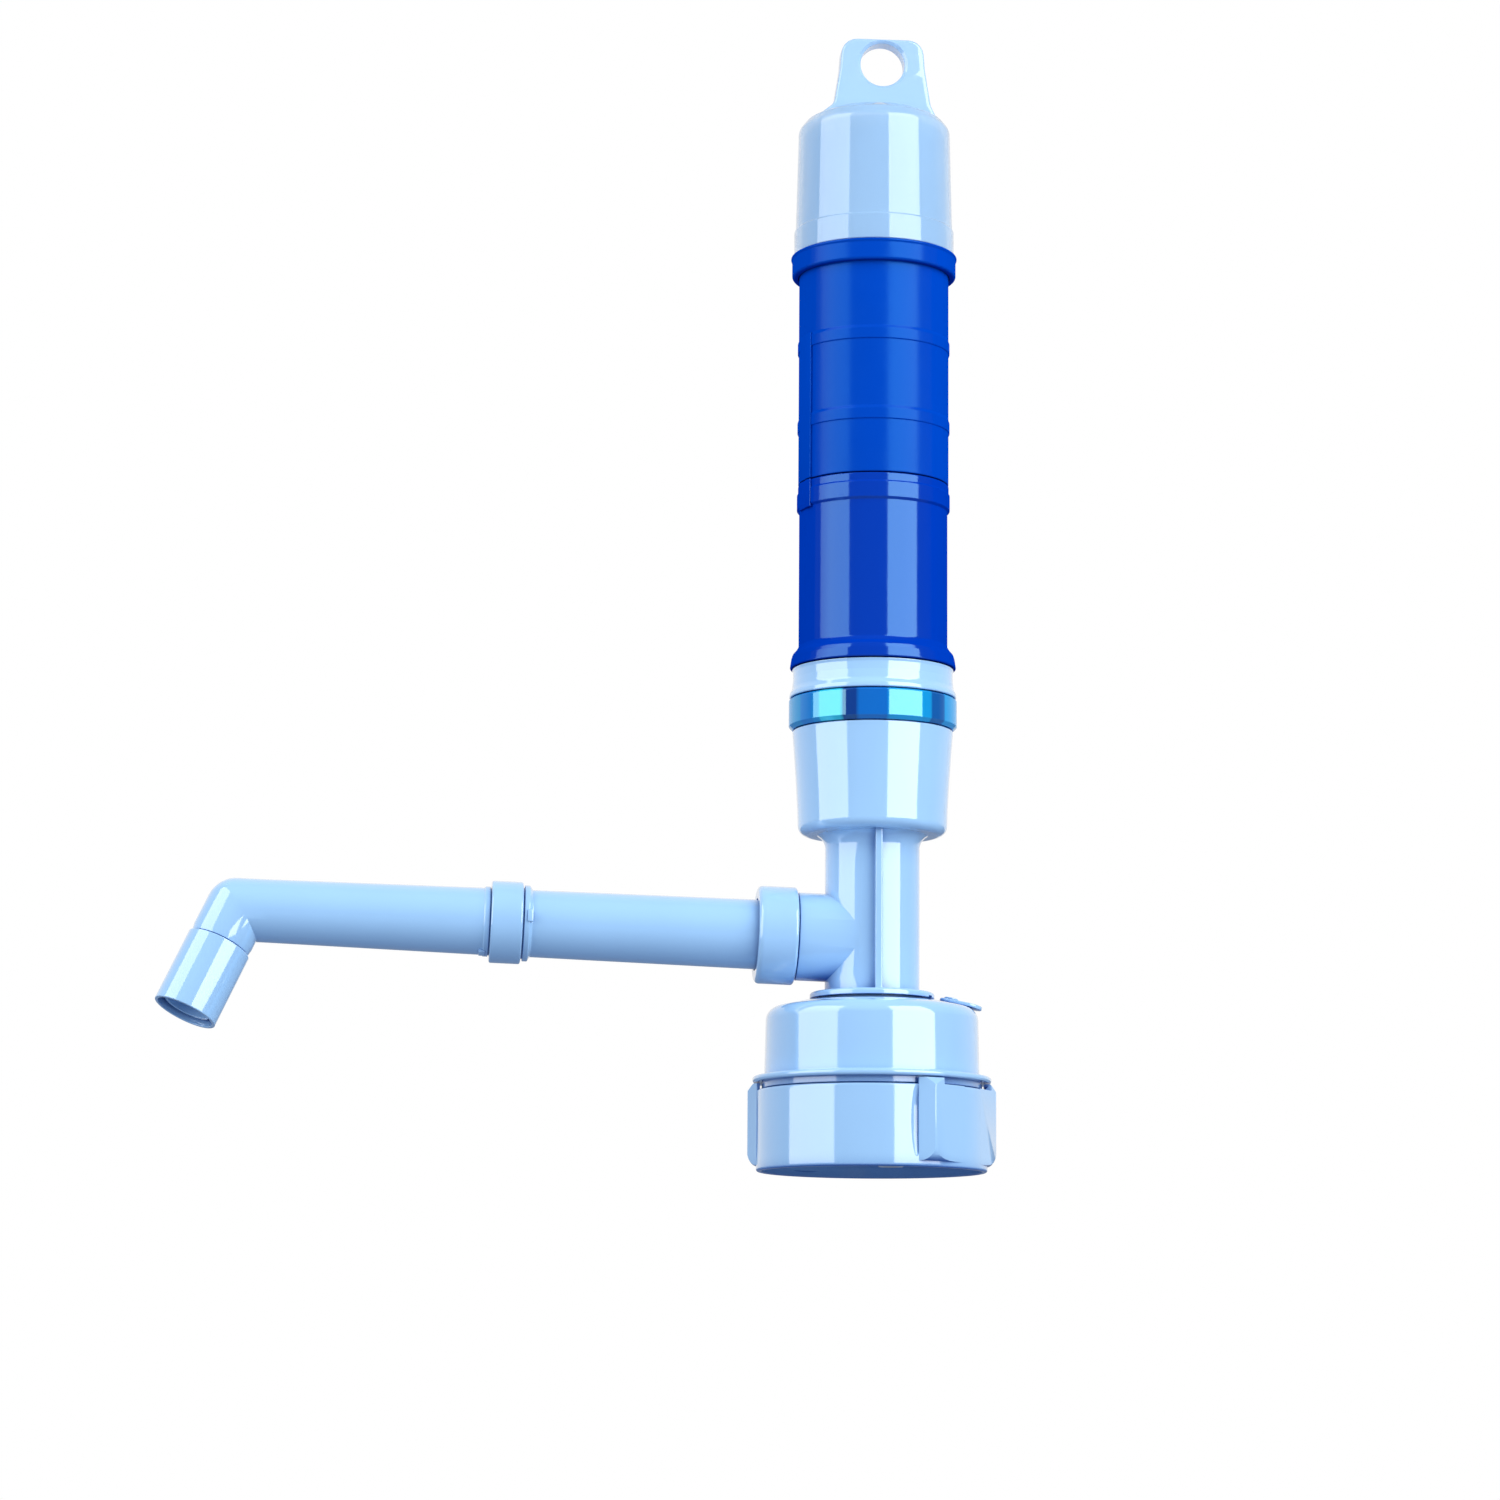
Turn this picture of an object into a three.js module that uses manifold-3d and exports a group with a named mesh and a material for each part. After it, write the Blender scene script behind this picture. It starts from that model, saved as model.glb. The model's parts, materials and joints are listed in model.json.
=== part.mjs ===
// Electric water jug pump: screw ring, domed jug cap, pump column with a spout branch,
// battery barrel and hanging cap, with the pump, motor, batteries and switch inside.
// Millimetres and degrees, +Z up. The origin is the centre of the screw ring's bottom rim
// on the stem axis. The spout points along -X and the front of the pump faces -Y.

import * as THREE from "three";
import { mergeVertices } from "three/addons/utils/BufferGeometryUtils.js";
import Module from "manifold-3d";

const wasm = await Module();
wasm.setup();

// Driving dimensions
// Gaps between pieces, how far a cut runs past what it cuts, and the facets of round pieces.
const seatGap = 0.3;
const snugGap = 0.15;
const grooveGap = 0.1;
const squeezeGap = 0.05;
const overrun = 1;
const weld = 1e-4;
const facets = { large: 24, medium: 16, small: 10, tiny: 8 };

// The neck of the jug that the ring screws onto.
const jugNeck = { radius: 27.5, threadRoom: 1.9 };

const ring = {
  height: 21.6, wall: 1.4, topLip: 1.8, topLipReach: 1.9, edge: 0.5,
  threadStart: 3, threadPitch: 4.5, threadTurns: 1.6, threadDepth: 1.4, threadWidth: 1.6, threadFlank: 0.8,
  finRise: 2.4, finLow: 1.6, finHigh: 1.2, finTaper: 4.4, finFoot: 3.6,
  finSpacingDeg: 60, finFirstDeg: -66.4,
};

const dome = {
  ringPlay: 2, neckGap: 0.5, neckWall: 2.4, flange: 1.9, lip: 1.6, lipReach: 1.1, lipRound: 0.5,
  wall: 2.2, wallInset: 2.1, draft: 0.3, rise: 20.6, shoulderDrop: 5.6, shoulderRadius: 3.8,
  shoulderDeg: 75, topFlat: 3.4, topThick: 2.4, hubWall: 3,
};

const gasket = { thick: 2, reach: 3.9 };

const vent = {
  pinOffset: 21.1, holeOffset: 25.7, hubRadius: 3, tipOffset: 29.7, tipWidth: 8, thick: 1,
  lift: 0.4, holeRadius: 0.8, bossWall: 0.7, pinRadius: 1.2, pinHeadRadius: 1.9, pinHead: 0.4,
  clipRadius: 2.6, clipThick: 0.9, bossRadius: 2.8, bossDrop: 1.5,
};

const stem = {
  radius: 12.7, spigotRadius: 13.2, boreRadius: 8.5, spigotDepth: 12.1, footRadius: 16.7,
  footThick: 1.7, footEdge: 0.5, length: 38.7, filletRise: 3.8, filletReach: 4.3, filletDeg: 120,
  ribThick: 2, ribRadius: 16, waterTopRoof: 2.8,
};

const housing = {
  wallLow: 1.9, wallHigh: 1.8, cornerRise: 2.2, floorRise: 5.7, cavityRadius: 18.2,
  mouthDepth: 6.5, sealDepth: 5, sealRadius: 6.3, shaftHole: 2.2, taperShares: [0.3, 0.65], taperBow: 1.3,
};

const branch = { height: 14.3, tiltDeg: 1.8, radius: 11.8, bodyEnd: 20.6, threadRadius: 10.9, end: 27.2 };

const pump = {
  outerRadius: 16.5, roof: 2.5, cavityRadius: 8.9, cavityHeight: 10, gasketThick: 0.8, coverThick: 2.5,
  portRadius: 2.2, portOffset: 5.6, inletRadius: 2.6, inletWall: 1.4, inletLength: 15.8, inletOffset: 5.2,
  barbRise: 0.7, barbPitch: 3.2, barbCount: 3, barbSlopeShare: 0.7, barbStepShare: 0.75,
  screwCircle: 11.2, screwCount: 3, screwFirstDeg: 90,
};

const screw = { shankRadius: 1.2, headRadius: 2.3, headHeight: 1.5, bite: 8, slotWidth: 0.7, slotDepth: 0.7 };

const impeller = { hubRadius: 3.2, vaneThick: 1.2, vaneCount: 6, endGap: 0.5 };

const shaft = { radius: 1.5, motorRadius: 1, couplerRadius: 3.2, couplerLength: 5.9, couplerBite: 2.6 };

const seal = { height: 2.7, lipGap: 0.2 };

const motor = {
  canRadius: 12.2, canWall: 0.8, canLength: 24, floorGap: 4.8, bellLength: 2.5,
  magnetThick: 2, magnetLength: 16, armatureRadius: 8.6, armatureLength: 15, endRoom: 4,
  terminalOffset: 7.5, terminalWidth: 2.8, terminalThick: 0.5, terminalHeight: 2.3, headRoom: 0.4,
};

const holder = { wall: 1.5, baseThick: 2, baseGap: 0.5, ledge: 1.7, ledgeHole: 4.2 };

const glow = { height: 8.3, wall: 2.8, chamfer: 1 };

const led = { boardThick: 1.2, boardGap: 0.4, size: 2.2, height: 1.6, offset: 15.8, count: 3, firstDeg: 72 };

const collar = {
  neckWall: 1.6, neckDepth: 14.8, shelf: 2.9, height: 7.9, wall: 2.2, flareReach: 1.05, flareRise: 2.5,
  lipReach: 0.2, windowWidth: 8, windowEdge: 1.2, keyWidth: 2.2, keyReach: 1.2, keyDeg: -113, keyRoom: 0.4,
};

const cell = { radius: 17.1, length: 61.5, nubRadius: 4.7, nubHeight: 1.5, edge: 1 };

const tube = {
  wall: 2.75, footWall: 1.7, floor: 1.6, footReach: 2.35, footRise: 5.9, glossShare: 0.704,
  band: 4.5, bandReach: 0.65, step: 2.5, stepReach: 0.35, neck: 14.6, neckWall: 1.5, wireHole: 2,
  grooveDepth: 0.85, grooveWidth: 1.6, grooveRise: 6,
  flareShares: [[1, 0], [0.83, 0.44], [0.68, 0.63], [0.28, 0.81], [0.06, 1]],
};

const contact = { bottomRadius: 11, topRadius: 9, thick: 0.5 };

const spring = { wire: 0.8, lowRadius: 7.5, highRadius: 4.5, turns: 2, rise: 2.6 };

const sleeve = {
  wall: 1.25, ribReach: 0.3, ribWidth: 3.7, ribEdge: 0.8, ribShares: [0.231, 0.583], headDepth: 5,
  railStartDeg: -172, railSweepDeg: 21, railReach: 0.45, railTopShare: 0.642, ridgeRise: 0.3,
  ridgeFromShare: 0.5, railSteps: 4,
};

const trim = { width: 5.7, flange: 0.7, lipReach: 0.3, wall: 1.65, chamfer: 0.6 };

const tower = {
  cellOverlap: 10.5, spigotWall: 0.8, baseWall: 2.3, baseRise: 8.4, shoulderWall: 1.3, roof: 2.4,
  midRadius: 16, midRise: 9.7, topRadius: 15, topRise: 22.5, cavityWall: 1.8, topPlate: 1.9,
};

const button = {
  radius: 9, rise: 2.5, flangeReach: 1.4, flange: 1.5, crown: 2, wall: 1.5, stemRadius: 1.8, travel: 2.5,
};

const toggle = { radius: 7.2, height: 8.9, reach: 1.6 };

const buttonSpring = { radius: 4.2, wire: 0.7, turns: 4 };

const cap = {
  wall: 1.8, skirtRise: 7.2, skirtStep: 0.4, taper: 0.7, roofGap: 1.8, roof: 3.5, slideGap: 0.4,
  shoulderReach: 4.5, shoulderDrop: 2.6, brimRise: 5.1, brimInset: 0.4, coneRadius: 14.3,
  innerConeInset: 2.6,
};

const loop = {
  offset: 2, baseWidth: 27.4, topWidth: 24.2, top: 21.1, waist: 12.4, cornerRadius: 4.6, thick: 6.5,
  holeRadius: 6.1, holeRise: 12.8, bevel: 1.1, root: 2.4, footLeft: 17.6, footRight: 15.2,
  footRise: 1.1, flareRise: 3.9, footThick: 5.2,
};

const nut = { start: 20.9, length: 10.5, radius: 13.1, lip: 1.8, edge: 1.2 };

const innerTube = {
  boreRadius: 7.6, startWall: 1.75, endWall: 1.35, flange: 0.8, end: 91.5, collar: 2.1,
  collarReach: 1.2, collarEdge: 0.5, spigotRadius: 9.5, spigot: 4,
};

const coupling = { length: 8.4, gap: 0.4, radius: 10.95, bore: 9.85, lip: 1.3, edge: 0.5 };

const outerTube = {
  boreRadius: 7, startWall: 1.95, endWall: 1.4, headRadius: 9.5, lipWidth: 1.6, lipReach: 0.4,
  corner: 169.5, turnDeg: 67.7, swingDeg: 11.4, elbowRadius: 8.05, elbowBore: 6.7, elbowEnd: 10.45,
  spigotRadius: 7.5, spigotLength: 11,
};

const nozzle = { end: 31.3, radius: 8.7, wall: 0.9, linerStart: 13, linerEnd: 29.9, linerWall: 0.8 };

// Values worked out from the driving dimensions, from the rim upward.
const ringBoreRadius = jugNeck.radius + jugNeck.threadRoom;
const ringRadius = ringBoreRadius + ring.wall;
const ringLipRadius = ringBoreRadius - ring.topLipReach;
const ringLipZ = ring.height - ring.topLip;

const domeNeckRadius = ringLipRadius - dome.neckGap;
const domeNeckBore = domeNeckRadius - dome.neckWall;
const domeFlangeRadius = ringBoreRadius - 2 * seatGap;
const domeFlangeTopZ = ringLipZ - seatGap;
const domeFlangeZ = domeFlangeTopZ - dome.flange;
const domeLipZ = ring.height + dome.ringPlay;
const domeLipTopZ = domeLipZ + dome.lip;
const domeLipRadius = ringRadius + dome.lipReach;
const domeRadius = ringRadius - dome.wallInset;
const domeTopZ = domeLipTopZ + dome.rise;
const domeWallTopZ = domeTopZ - dome.shoulderDrop;
const domeHoleRadius = stem.spigotRadius + seatGap;

const footZ = domeTopZ + seatGap;
const footTopZ = footZ + stem.footThick;
const spigotEndZ = footZ - stem.spigotDepth;
const filletZ = footTopZ + stem.length;
const housingZ = filletZ + stem.filletRise;
const housingFloorZ = housingZ + housing.floorRise;
const sealFloorZ = housingFloorZ - housing.sealDepth;
const waterTopZ = sealFloorZ - stem.waterTopRoof;
const branchZ = footTopZ + branch.height;

// The motor stands on the housing's floor, and the barrel's floor clears its terminals.
const motorZ = housingFloorZ + motor.floorGap;
const canTopZ = motorZ + motor.canLength;
const bellZ = canTopZ + seatGap;
const bellTopZ = bellZ + motor.bellLength;
const terminalZ = bellTopZ + seatGap;
const terminalTopZ = terminalZ + motor.terminalHeight;
const tubeFloorZ = terminalTopZ + motor.headRoom;
const collarShelfZ = tubeFloorZ - seatGap;
const collarZ = collarShelfZ - collar.shelf;
const glowTopZ = collarZ - seatGap;
const glowZ = glowTopZ - glow.height;
const housingTopZ = glowZ - seatGap;
const housingHeight = housingTopZ - housingZ;

const cellBoreRadius = cell.radius + seatGap;
const tubeRadius = cellBoreRadius + tube.wall;
const tubeFootRadius = cellBoreRadius + tube.footWall;
const tubeNeckRadius = cellBoreRadius + tube.neckWall;
const collarPocketRadius = tubeFootRadius + seatGap;
const collarRadius = collarPocketRadius + collar.wall;
const collarNeckBore = collarPocketRadius - collar.neckWall + seatGap;
const collarNeckRadius = collarNeckBore + collar.neckWall;
const glowBoreRadius = collarNeckRadius + seatGap;
const glowRadius = glowBoreRadius + glow.wall;
const housingMouthRadius = collarNeckRadius + seatGap;
const housingTopRadius = housingMouthRadius + housing.wallHigh;
const housingLowRadius = housing.cavityRadius + housing.wallLow;
const housingMouthZ = housingTopZ - housing.mouthDepth;

const collarTopZ = collarZ + collar.height;
const tubeFloorTopZ = tubeFloorZ + tube.floor;
const tubeFootZ = collarTopZ + seatGap;
const bandZ = tubeFootZ + cell.length * tube.glossShare;
const bandTopZ = bandZ + tube.band;
const tubeShoulderZ = bandTopZ + tube.step;
const tubeTopZ = tubeShoulderZ + tube.neck;

const contactBottomZ = tubeFloorTopZ + seatGap;
const springZ = contactBottomZ + contact.thick + seatGap;
const cellZ = springZ + spring.rise + seatGap;
const upperCellZ = cellZ + cell.length + seatGap;
const cellTopZ = upperCellZ + cell.length;
const contactTopZ = cellTopZ + seatGap;
const towerRoofZ = contactTopZ + contact.thick + seatGap;

const sleeveZ = tubeShoulderZ + seatGap;
const sleeveTopZ = cellTopZ - tower.cellOverlap;
const sleeveLength = sleeveTopZ - sleeveZ;
const sleeveBoreRadius = tubeNeckRadius + seatGap;
const sleeveRadius = sleeveBoreRadius + sleeve.wall;
const trimBoreRadius = sleeveRadius + seatGap;
const trimRadius = trimBoreRadius + trim.wall;
const trimFlangeZ = sleeveTopZ + seatGap;
const trimTopZ = trimFlangeZ + trim.flange;
const towerBaseRadius = cellBoreRadius + tower.baseWall;
const towerSpigotRadius = cellBoreRadius + tower.spigotWall;
const towerZ = sleeveTopZ + seatGap;
const towerTopZ = towerRoofZ + tower.topRise;
const towerFloorZ = towerRoofZ + tower.roof;
const towerCavityRadius = tower.topRadius - tower.cavityWall;
const towerPlateZ = towerTopZ - tower.topPlate;

const buttonFlangeTopZ = towerPlateZ - seatGap;
const buttonFlangeZ = buttonFlangeTopZ - button.flange;
const buttonTopZ = towerTopZ + button.rise;
const toggleZ = towerFloorZ + seatGap;
const toggleTopZ = toggleZ + toggle.height;
const buttonStemZ = toggleTopZ - toggle.reach;
const toggleWellZ = buttonStemZ - button.travel - seatGap;

const capZ = trimTopZ + seatGap;
const capBoreRadius = towerBaseRadius + cap.slideGap;
const capRadius = capBoreRadius + cap.wall;
const capRoofZ = buttonTopZ + cap.roofGap;
const capTopZ = capRoofZ + cap.roof;

const spoutTiltRad = THREE.MathUtils.degToRad(branch.tiltDeg);
const nutEnd = nut.start + nut.length;
const nutLipStart = nutEnd - nut.lip;
const nutBoreRadius = branch.threadRadius + 2 * seatGap;
const innerTubeRadius = innerTube.boreRadius + innerTube.startWall;
const innerTubeEndRadius = innerTube.boreRadius + innerTube.endWall;
const innerFlangeEnd = nutLipStart - seatGap;
const innerTubeStart = innerFlangeEnd - innerTube.flange;
const unionSealStart = branch.end + seatGap;
const unionSealEnd = innerTubeStart - seatGap;
const innerCollarEnd = innerTube.end + innerTube.collar;
const innerSpigotEnd = innerCollarEnd + innerTube.spigot;
const couplingStart = innerCollarEnd + coupling.gap;
const couplingEnd = couplingStart + coupling.length;
const couplingLipStart = couplingEnd - coupling.lip;
const outerTubeStart = innerSpigotEnd + seatGap;
const outerHeadEnd = couplingLipStart - seatGap;
const outerLipStart = couplingEnd + seatGap;
const outerLipEnd = outerLipStart + outerTube.lipWidth;
const outerTubeRadius = outerTube.boreRadius + outerTube.startWall;
const outerTubeEndRadius = outerTube.boreRadius + outerTube.endWall;

// The plastics and metals, with their colours.
const look = (color, roughness, metalness, opacity = 1) =>
  new THREE.MeshStandardMaterial({ color, roughness, metalness, opacity, transparent: opacity < 1 });
const paleBlue = look("#a9cff8", 0.22, 0);
const cobaltGloss = look("#0a43b8", 0.18, 0);
const cobaltSatin = look("#0b3fae", 0.45, 0);
const clearCyan = look("#1f8df0", 0.06, 0, 0.6);
const frosted = look("#a6cbfa", 0.3, 0, 0.7);
const blackRubber = look("#1b1c1e", 0.8, 0);
const whitePlastic = look("#e8eaec", 0.5, 0);
const greyPlastic = look("#70767d", 0.5, 0);
const steel = look("#b8bcc0", 0.3, 1);
const brass = look("#c7a258", 0.3, 1);
const magnetic = look("#3a3c40", 0.6, 0.4);
const copper = look("#a8643a", 0.4, 0.8);
const cellJacket = look("#2f3438", 0.35, 0.2);
const boardGreen = look("#1f5b3a", 0.5, 0);
const lampBlue = look("#bfe4ff", 0.15, 0);

// Geometry tools. Every piece is a closed surface with its faces pointing out.
function soldered(geometry) {
  const bare = geometry.clone();
  for (const name of Object.keys(bare.attributes)) {
    if (name !== "position") bare.deleteAttribute(name);
  }
  const merged = mergeVertices(bare, weld);
  const points = merged.attributes.position;
  const kept = [];
  let volume = 0;
  const [a, b, c] = [new THREE.Vector3(), new THREE.Vector3(), new THREE.Vector3()];
  for (let i = 0; i < merged.index.count; i += 3) {
    const [p, q, r] = [0, 1, 2].map((k) => merged.index.getX(i + k));
    if (p === q || q === r || r === p) continue;
    kept.push(p, q, r);
    a.fromBufferAttribute(points, p);
    b.fromBufferAttribute(points, q);
    c.fromBufferAttribute(points, r);
    volume += a.dot(b.cross(c));
  }
  if (volume < 0) kept.reverse();
  merged.setIndex(kept);
  return merged;
}

function solidOf(geometry) {
  const closed = soldered(geometry);
  return new wasm.Manifold(new wasm.Mesh({
    numProp: 3,
    vertProperties: new Float32Array(closed.attributes.position.array),
    triVerts: new Uint32Array(closed.index.array),
  }));
}

function geometryOf(solid) {
  const data = solid.getMesh();
  const geometry = new THREE.BufferGeometry();
  geometry.setAttribute("position", new THREE.BufferAttribute(new Float32Array(data.vertProperties), 3));
  geometry.setIndex(new THREE.BufferAttribute(new Uint32Array(data.triVerts), 1));
  return geometry;
}

function join(base, ...others) {
  return geometryOf(others.reduce((solid, other) => solid.add(solidOf(other)), solidOf(base)));
}

function cut(base, ...tools) {
  return geometryOf(tools.reduce((solid, tool) => solid.subtract(solidOf(tool)), solidOf(base)));
}

function common(base, other) {
  return geometryOf(solidOf(base).intersect(solidOf(other)));
}

// A turned solid about +Z from a profile of [radius, height] points, in order round it.
function turned(profile, count = facets.large) {
  const points = profile.map(([radius, height]) => new THREE.Vector2(radius, height));
  const onAxis = profile[0][0] === 0 && profile[profile.length - 1][0] === 0;
  if (!onAxis) points.push(points[0].clone());
  return new THREE.LatheGeometry(points, count).rotateX(Math.PI / 2);
}

function disc(radius, low, high, count = facets.medium) {
  return turned([[0, low], [radius, low], [radius, high], [0, high]], count);
}

function pipe(inner, outer, low, high, count = facets.medium) {
  return turned([[inner, low], [outer, low], [outer, high], [inner, high]], count);
}

// A block that spans two corners.
function block(low, high) {
  const size = high.map((value, axis) => value - low[axis]);
  const middle = high.map((value, axis) => (value + low[axis]) / 2);
  return new THREE.BoxGeometry(...size).translate(...middle);
}

// Points of an arc about a centre, as [radius, height] pairs, ends included.
function arc(centre, radius, fromDeg, toDeg, steps) {
  return Array.from({ length: steps + 1 }, (_, i) => {
    const angle = THREE.MathUtils.degToRad(fromDeg + ((toDeg - fromDeg) * i) / steps);
    return [centre[0] + radius * Math.cos(angle), centre[1] + radius * Math.sin(angle)];
  });
}

// A flat outline drawn out along +Z, with square edges.
function extruded(shape, depth) {
  return new THREE.ExtrudeGeometry(shape, { depth, bevelEnabled: false, curveSegments: facets.small });
}

// A bar swept along a path of frames: each section is a ring of points, and the ends close.
function swept(sections) {
  const sides = sections[0].length;
  const positions = sections.flat().flatMap((point) => point.toArray());
  const index = [];
  const at = (row, side) => row * sides + (side % sides);
  for (let row = 0; row + 1 < sections.length; row += 1) {
    for (let side = 0; side < sides; side += 1) {
      index.push(at(row, side), at(row, side + 1), at(row + 1, side + 1));
      index.push(at(row, side), at(row + 1, side + 1), at(row + 1, side));
    }
  }
  const last = sections.length - 1;
  for (let side = 1; side + 1 < sides; side += 1) {
    index.push(at(0, 0), at(0, side + 1), at(0, side));
    index.push(at(last, 0), at(last, side), at(last, side + 1));
  }
  const geometry = new THREE.BufferGeometry();
  geometry.setAttribute("position", new THREE.Float32BufferAttribute(positions, 3));
  geometry.setIndex(index);
  return geometry;
}

// A round wire coiled about +Z, from one radius and height to another.
function coil({ lowRadius, highRadius, low, high, turns, wire, stepsPerTurn = 8, sides = 4 }) {
  const steps = Math.round(turns * stepsPerTurn);
  return swept(Array.from({ length: steps + 1 }, (_, i) => {
    const share = i / steps;
    const angle = share * turns * 2 * Math.PI;
    const radius = lowRadius + (highRadius - lowRadius) * share;
    const height = low + wire / 2 + (high - low - wire) * share;
    return Array.from({ length: sides }, (_unused, k) => {
      const round = (k / sides) * 2 * Math.PI;
      const reach = radius + (wire / 2) * Math.cos(round);
      return new THREE.Vector3(
        reach * Math.cos(angle), reach * Math.sin(angle), height + (wire / 2) * Math.sin(round));
    });
  }));
}

// Evenly spaced angles about +Z.
const around = (count, firstDeg = 0) =>
  Array.from({ length: count }, (_, i) => THREE.MathUtils.degToRad(firstDeg + (360 * i) / count));

// The spout's frame: +Z runs out along the spout, and +X points up.
const spoutMatrix = new THREE.Matrix4()
  .makeRotationY(spoutTiltRad - Math.PI / 2)
  .setPosition(0, 0, branchZ);

const model = new THREE.Group();
const spout = new THREE.Group();
spout.applyMatrix4(spoutMatrix);
model.add(spout);
// The outlet's frame, at the elbow: +Z runs out of the nozzle. It is swung a little to the front.
const outletMatrix = new THREE.Matrix4()
  .makeRotationZ(THREE.MathUtils.degToRad(outerTube.swingDeg))
  .multiply(new THREE.Matrix4().makeRotationY(-THREE.MathUtils.degToRad(outerTube.turnDeg)))
  .setPosition(0, 0, outerTube.corner);
const outlet = new THREE.Group();
outlet.applyMatrix4(outletMatrix);
spout.add(outlet);

function add(name, geometry, material, parent = model) {
  const mesh = new THREE.Mesh(soldered(geometry), material);
  mesh.name = name;
  parent.add(mesh);
}

// Screw ring: a thin cap skirt with an inner thread, a lip that hangs it on the dome's
// flange, and four grip fins in two pairs. Each fin has one steep side and one long ramp.
function screwThread() {
  const steps = Math.round(ring.threadTurns * facets.large);
  const crest = ringBoreRadius - ring.threadDepth;
  const root = ringBoreRadius + ring.wall / 2;
  return swept(Array.from({ length: steps + 1 }, (_, i) => {
    const turn = (i / facets.large) * 2 * Math.PI;
    const height = ring.threadStart + (i / facets.large) * ring.threadPitch;
    const place = (radius, rise) =>
      new THREE.Vector3(radius * Math.cos(turn), radius * Math.sin(turn), height + rise);
    return [
      place(root, -ring.threadFlank), place(root, ring.threadWidth + ring.threadFlank),
      place(crest, ring.threadWidth), place(crest, 0),
    ];
  }));
}

function gripFin(turnDeg, side) {
  const crestRadius = ringRadius + ring.finRise;
  const inside = ringBoreRadius + ring.wall / 2;
  const rampDeg = THREE.MathUtils.radToDeg(Math.acos(ringRadius / crestRadius));
  const footDeg = THREE.MathUtils.radToDeg(ring.finFoot / ringRadius);
  const at = (radius, deg) => {
    const angle = THREE.MathUtils.degToRad(turnDeg + side * deg);
    return new THREE.Vector2(radius * Math.cos(angle), radius * Math.sin(angle));
  };
  const outline = [
    at(inside, -footDeg), at(ringRadius, -footDeg), at(crestRadius, 0), at(ringRadius, rampDeg),
    at(inside, rampDeg),
  ];
  const top = ring.height + ring.finHigh;
  const fin = extruded(new THREE.Shape(outline), top - ring.finLow).translate(0, 0, ring.finLow);
  const envelope = turned([
    [0, ring.finLow], [ringRadius, ring.finLow], [crestRadius + overrun, ring.finLow + ring.finTaper],
    [crestRadius + overrun, ring.height], [ringRadius + seatGap, top], [0, top],
  ]);
  return common(fin, envelope);
}

function screwRing() {
  const body = turned([
    [ringBoreRadius, 0], [ringRadius - ring.edge, 0], [ringRadius, ring.edge],
    [ringRadius, ring.height - ring.edge], [ringRadius - ring.edge, ring.height],
    [ringLipRadius, ring.height], [ringLipRadius, ringLipZ], [ringBoreRadius, ringLipZ],
  ]);
  const finTopZ = ring.height + ring.finHigh;
  const bore = pipe(ringLipRadius, ringRadius, ring.height, finTopZ + overrun, facets.large);
  const fins = [0, 180].flatMap((half) => [
    gripFin(ring.finFirstDeg + half, 1),
    gripFin(ring.finFirstDeg + ring.finSpacingDeg + half, -1),
  ]);
  return cut(join(body, screwThread(), ...fins), bore);
}
add("screw_ring", screwRing(), paleBlue);

// Jug cap dome: a flange inside the ring, a short neck, an outer lip, the domed wall and a
// hub in the middle that the pump column turns in. A small boss carries the air hole.
const domeSlopeStart = domeHoleRadius + dome.topFlat;
const shoulderCentre = [domeRadius - dome.draft - dome.shoulderRadius, domeWallTopZ];
const pinBossZ = domeWallTopZ - vent.bossDrop;

// The vent lever and its pin stand square on the sloping part of the dome's top.
const shoulderEnd = arc(shoulderCentre, dome.shoulderRadius, 0, dome.shoulderDeg, 1).at(-1);
const slopeRad = Math.atan2(domeTopZ - shoulderEnd[1], shoulderEnd[0] - domeSlopeStart);
const leverZ = domeTopZ - (vent.pinOffset - domeSlopeStart) * Math.tan(slopeRad) + vent.lift;
const leverTopZ = leverZ + vent.thick;
const tipped = (geometry) => geometry.translate(-vent.pinOffset, 0, -leverZ).rotateY(slopeRad)
  .translate(vent.pinOffset, 0, leverZ);

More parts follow.
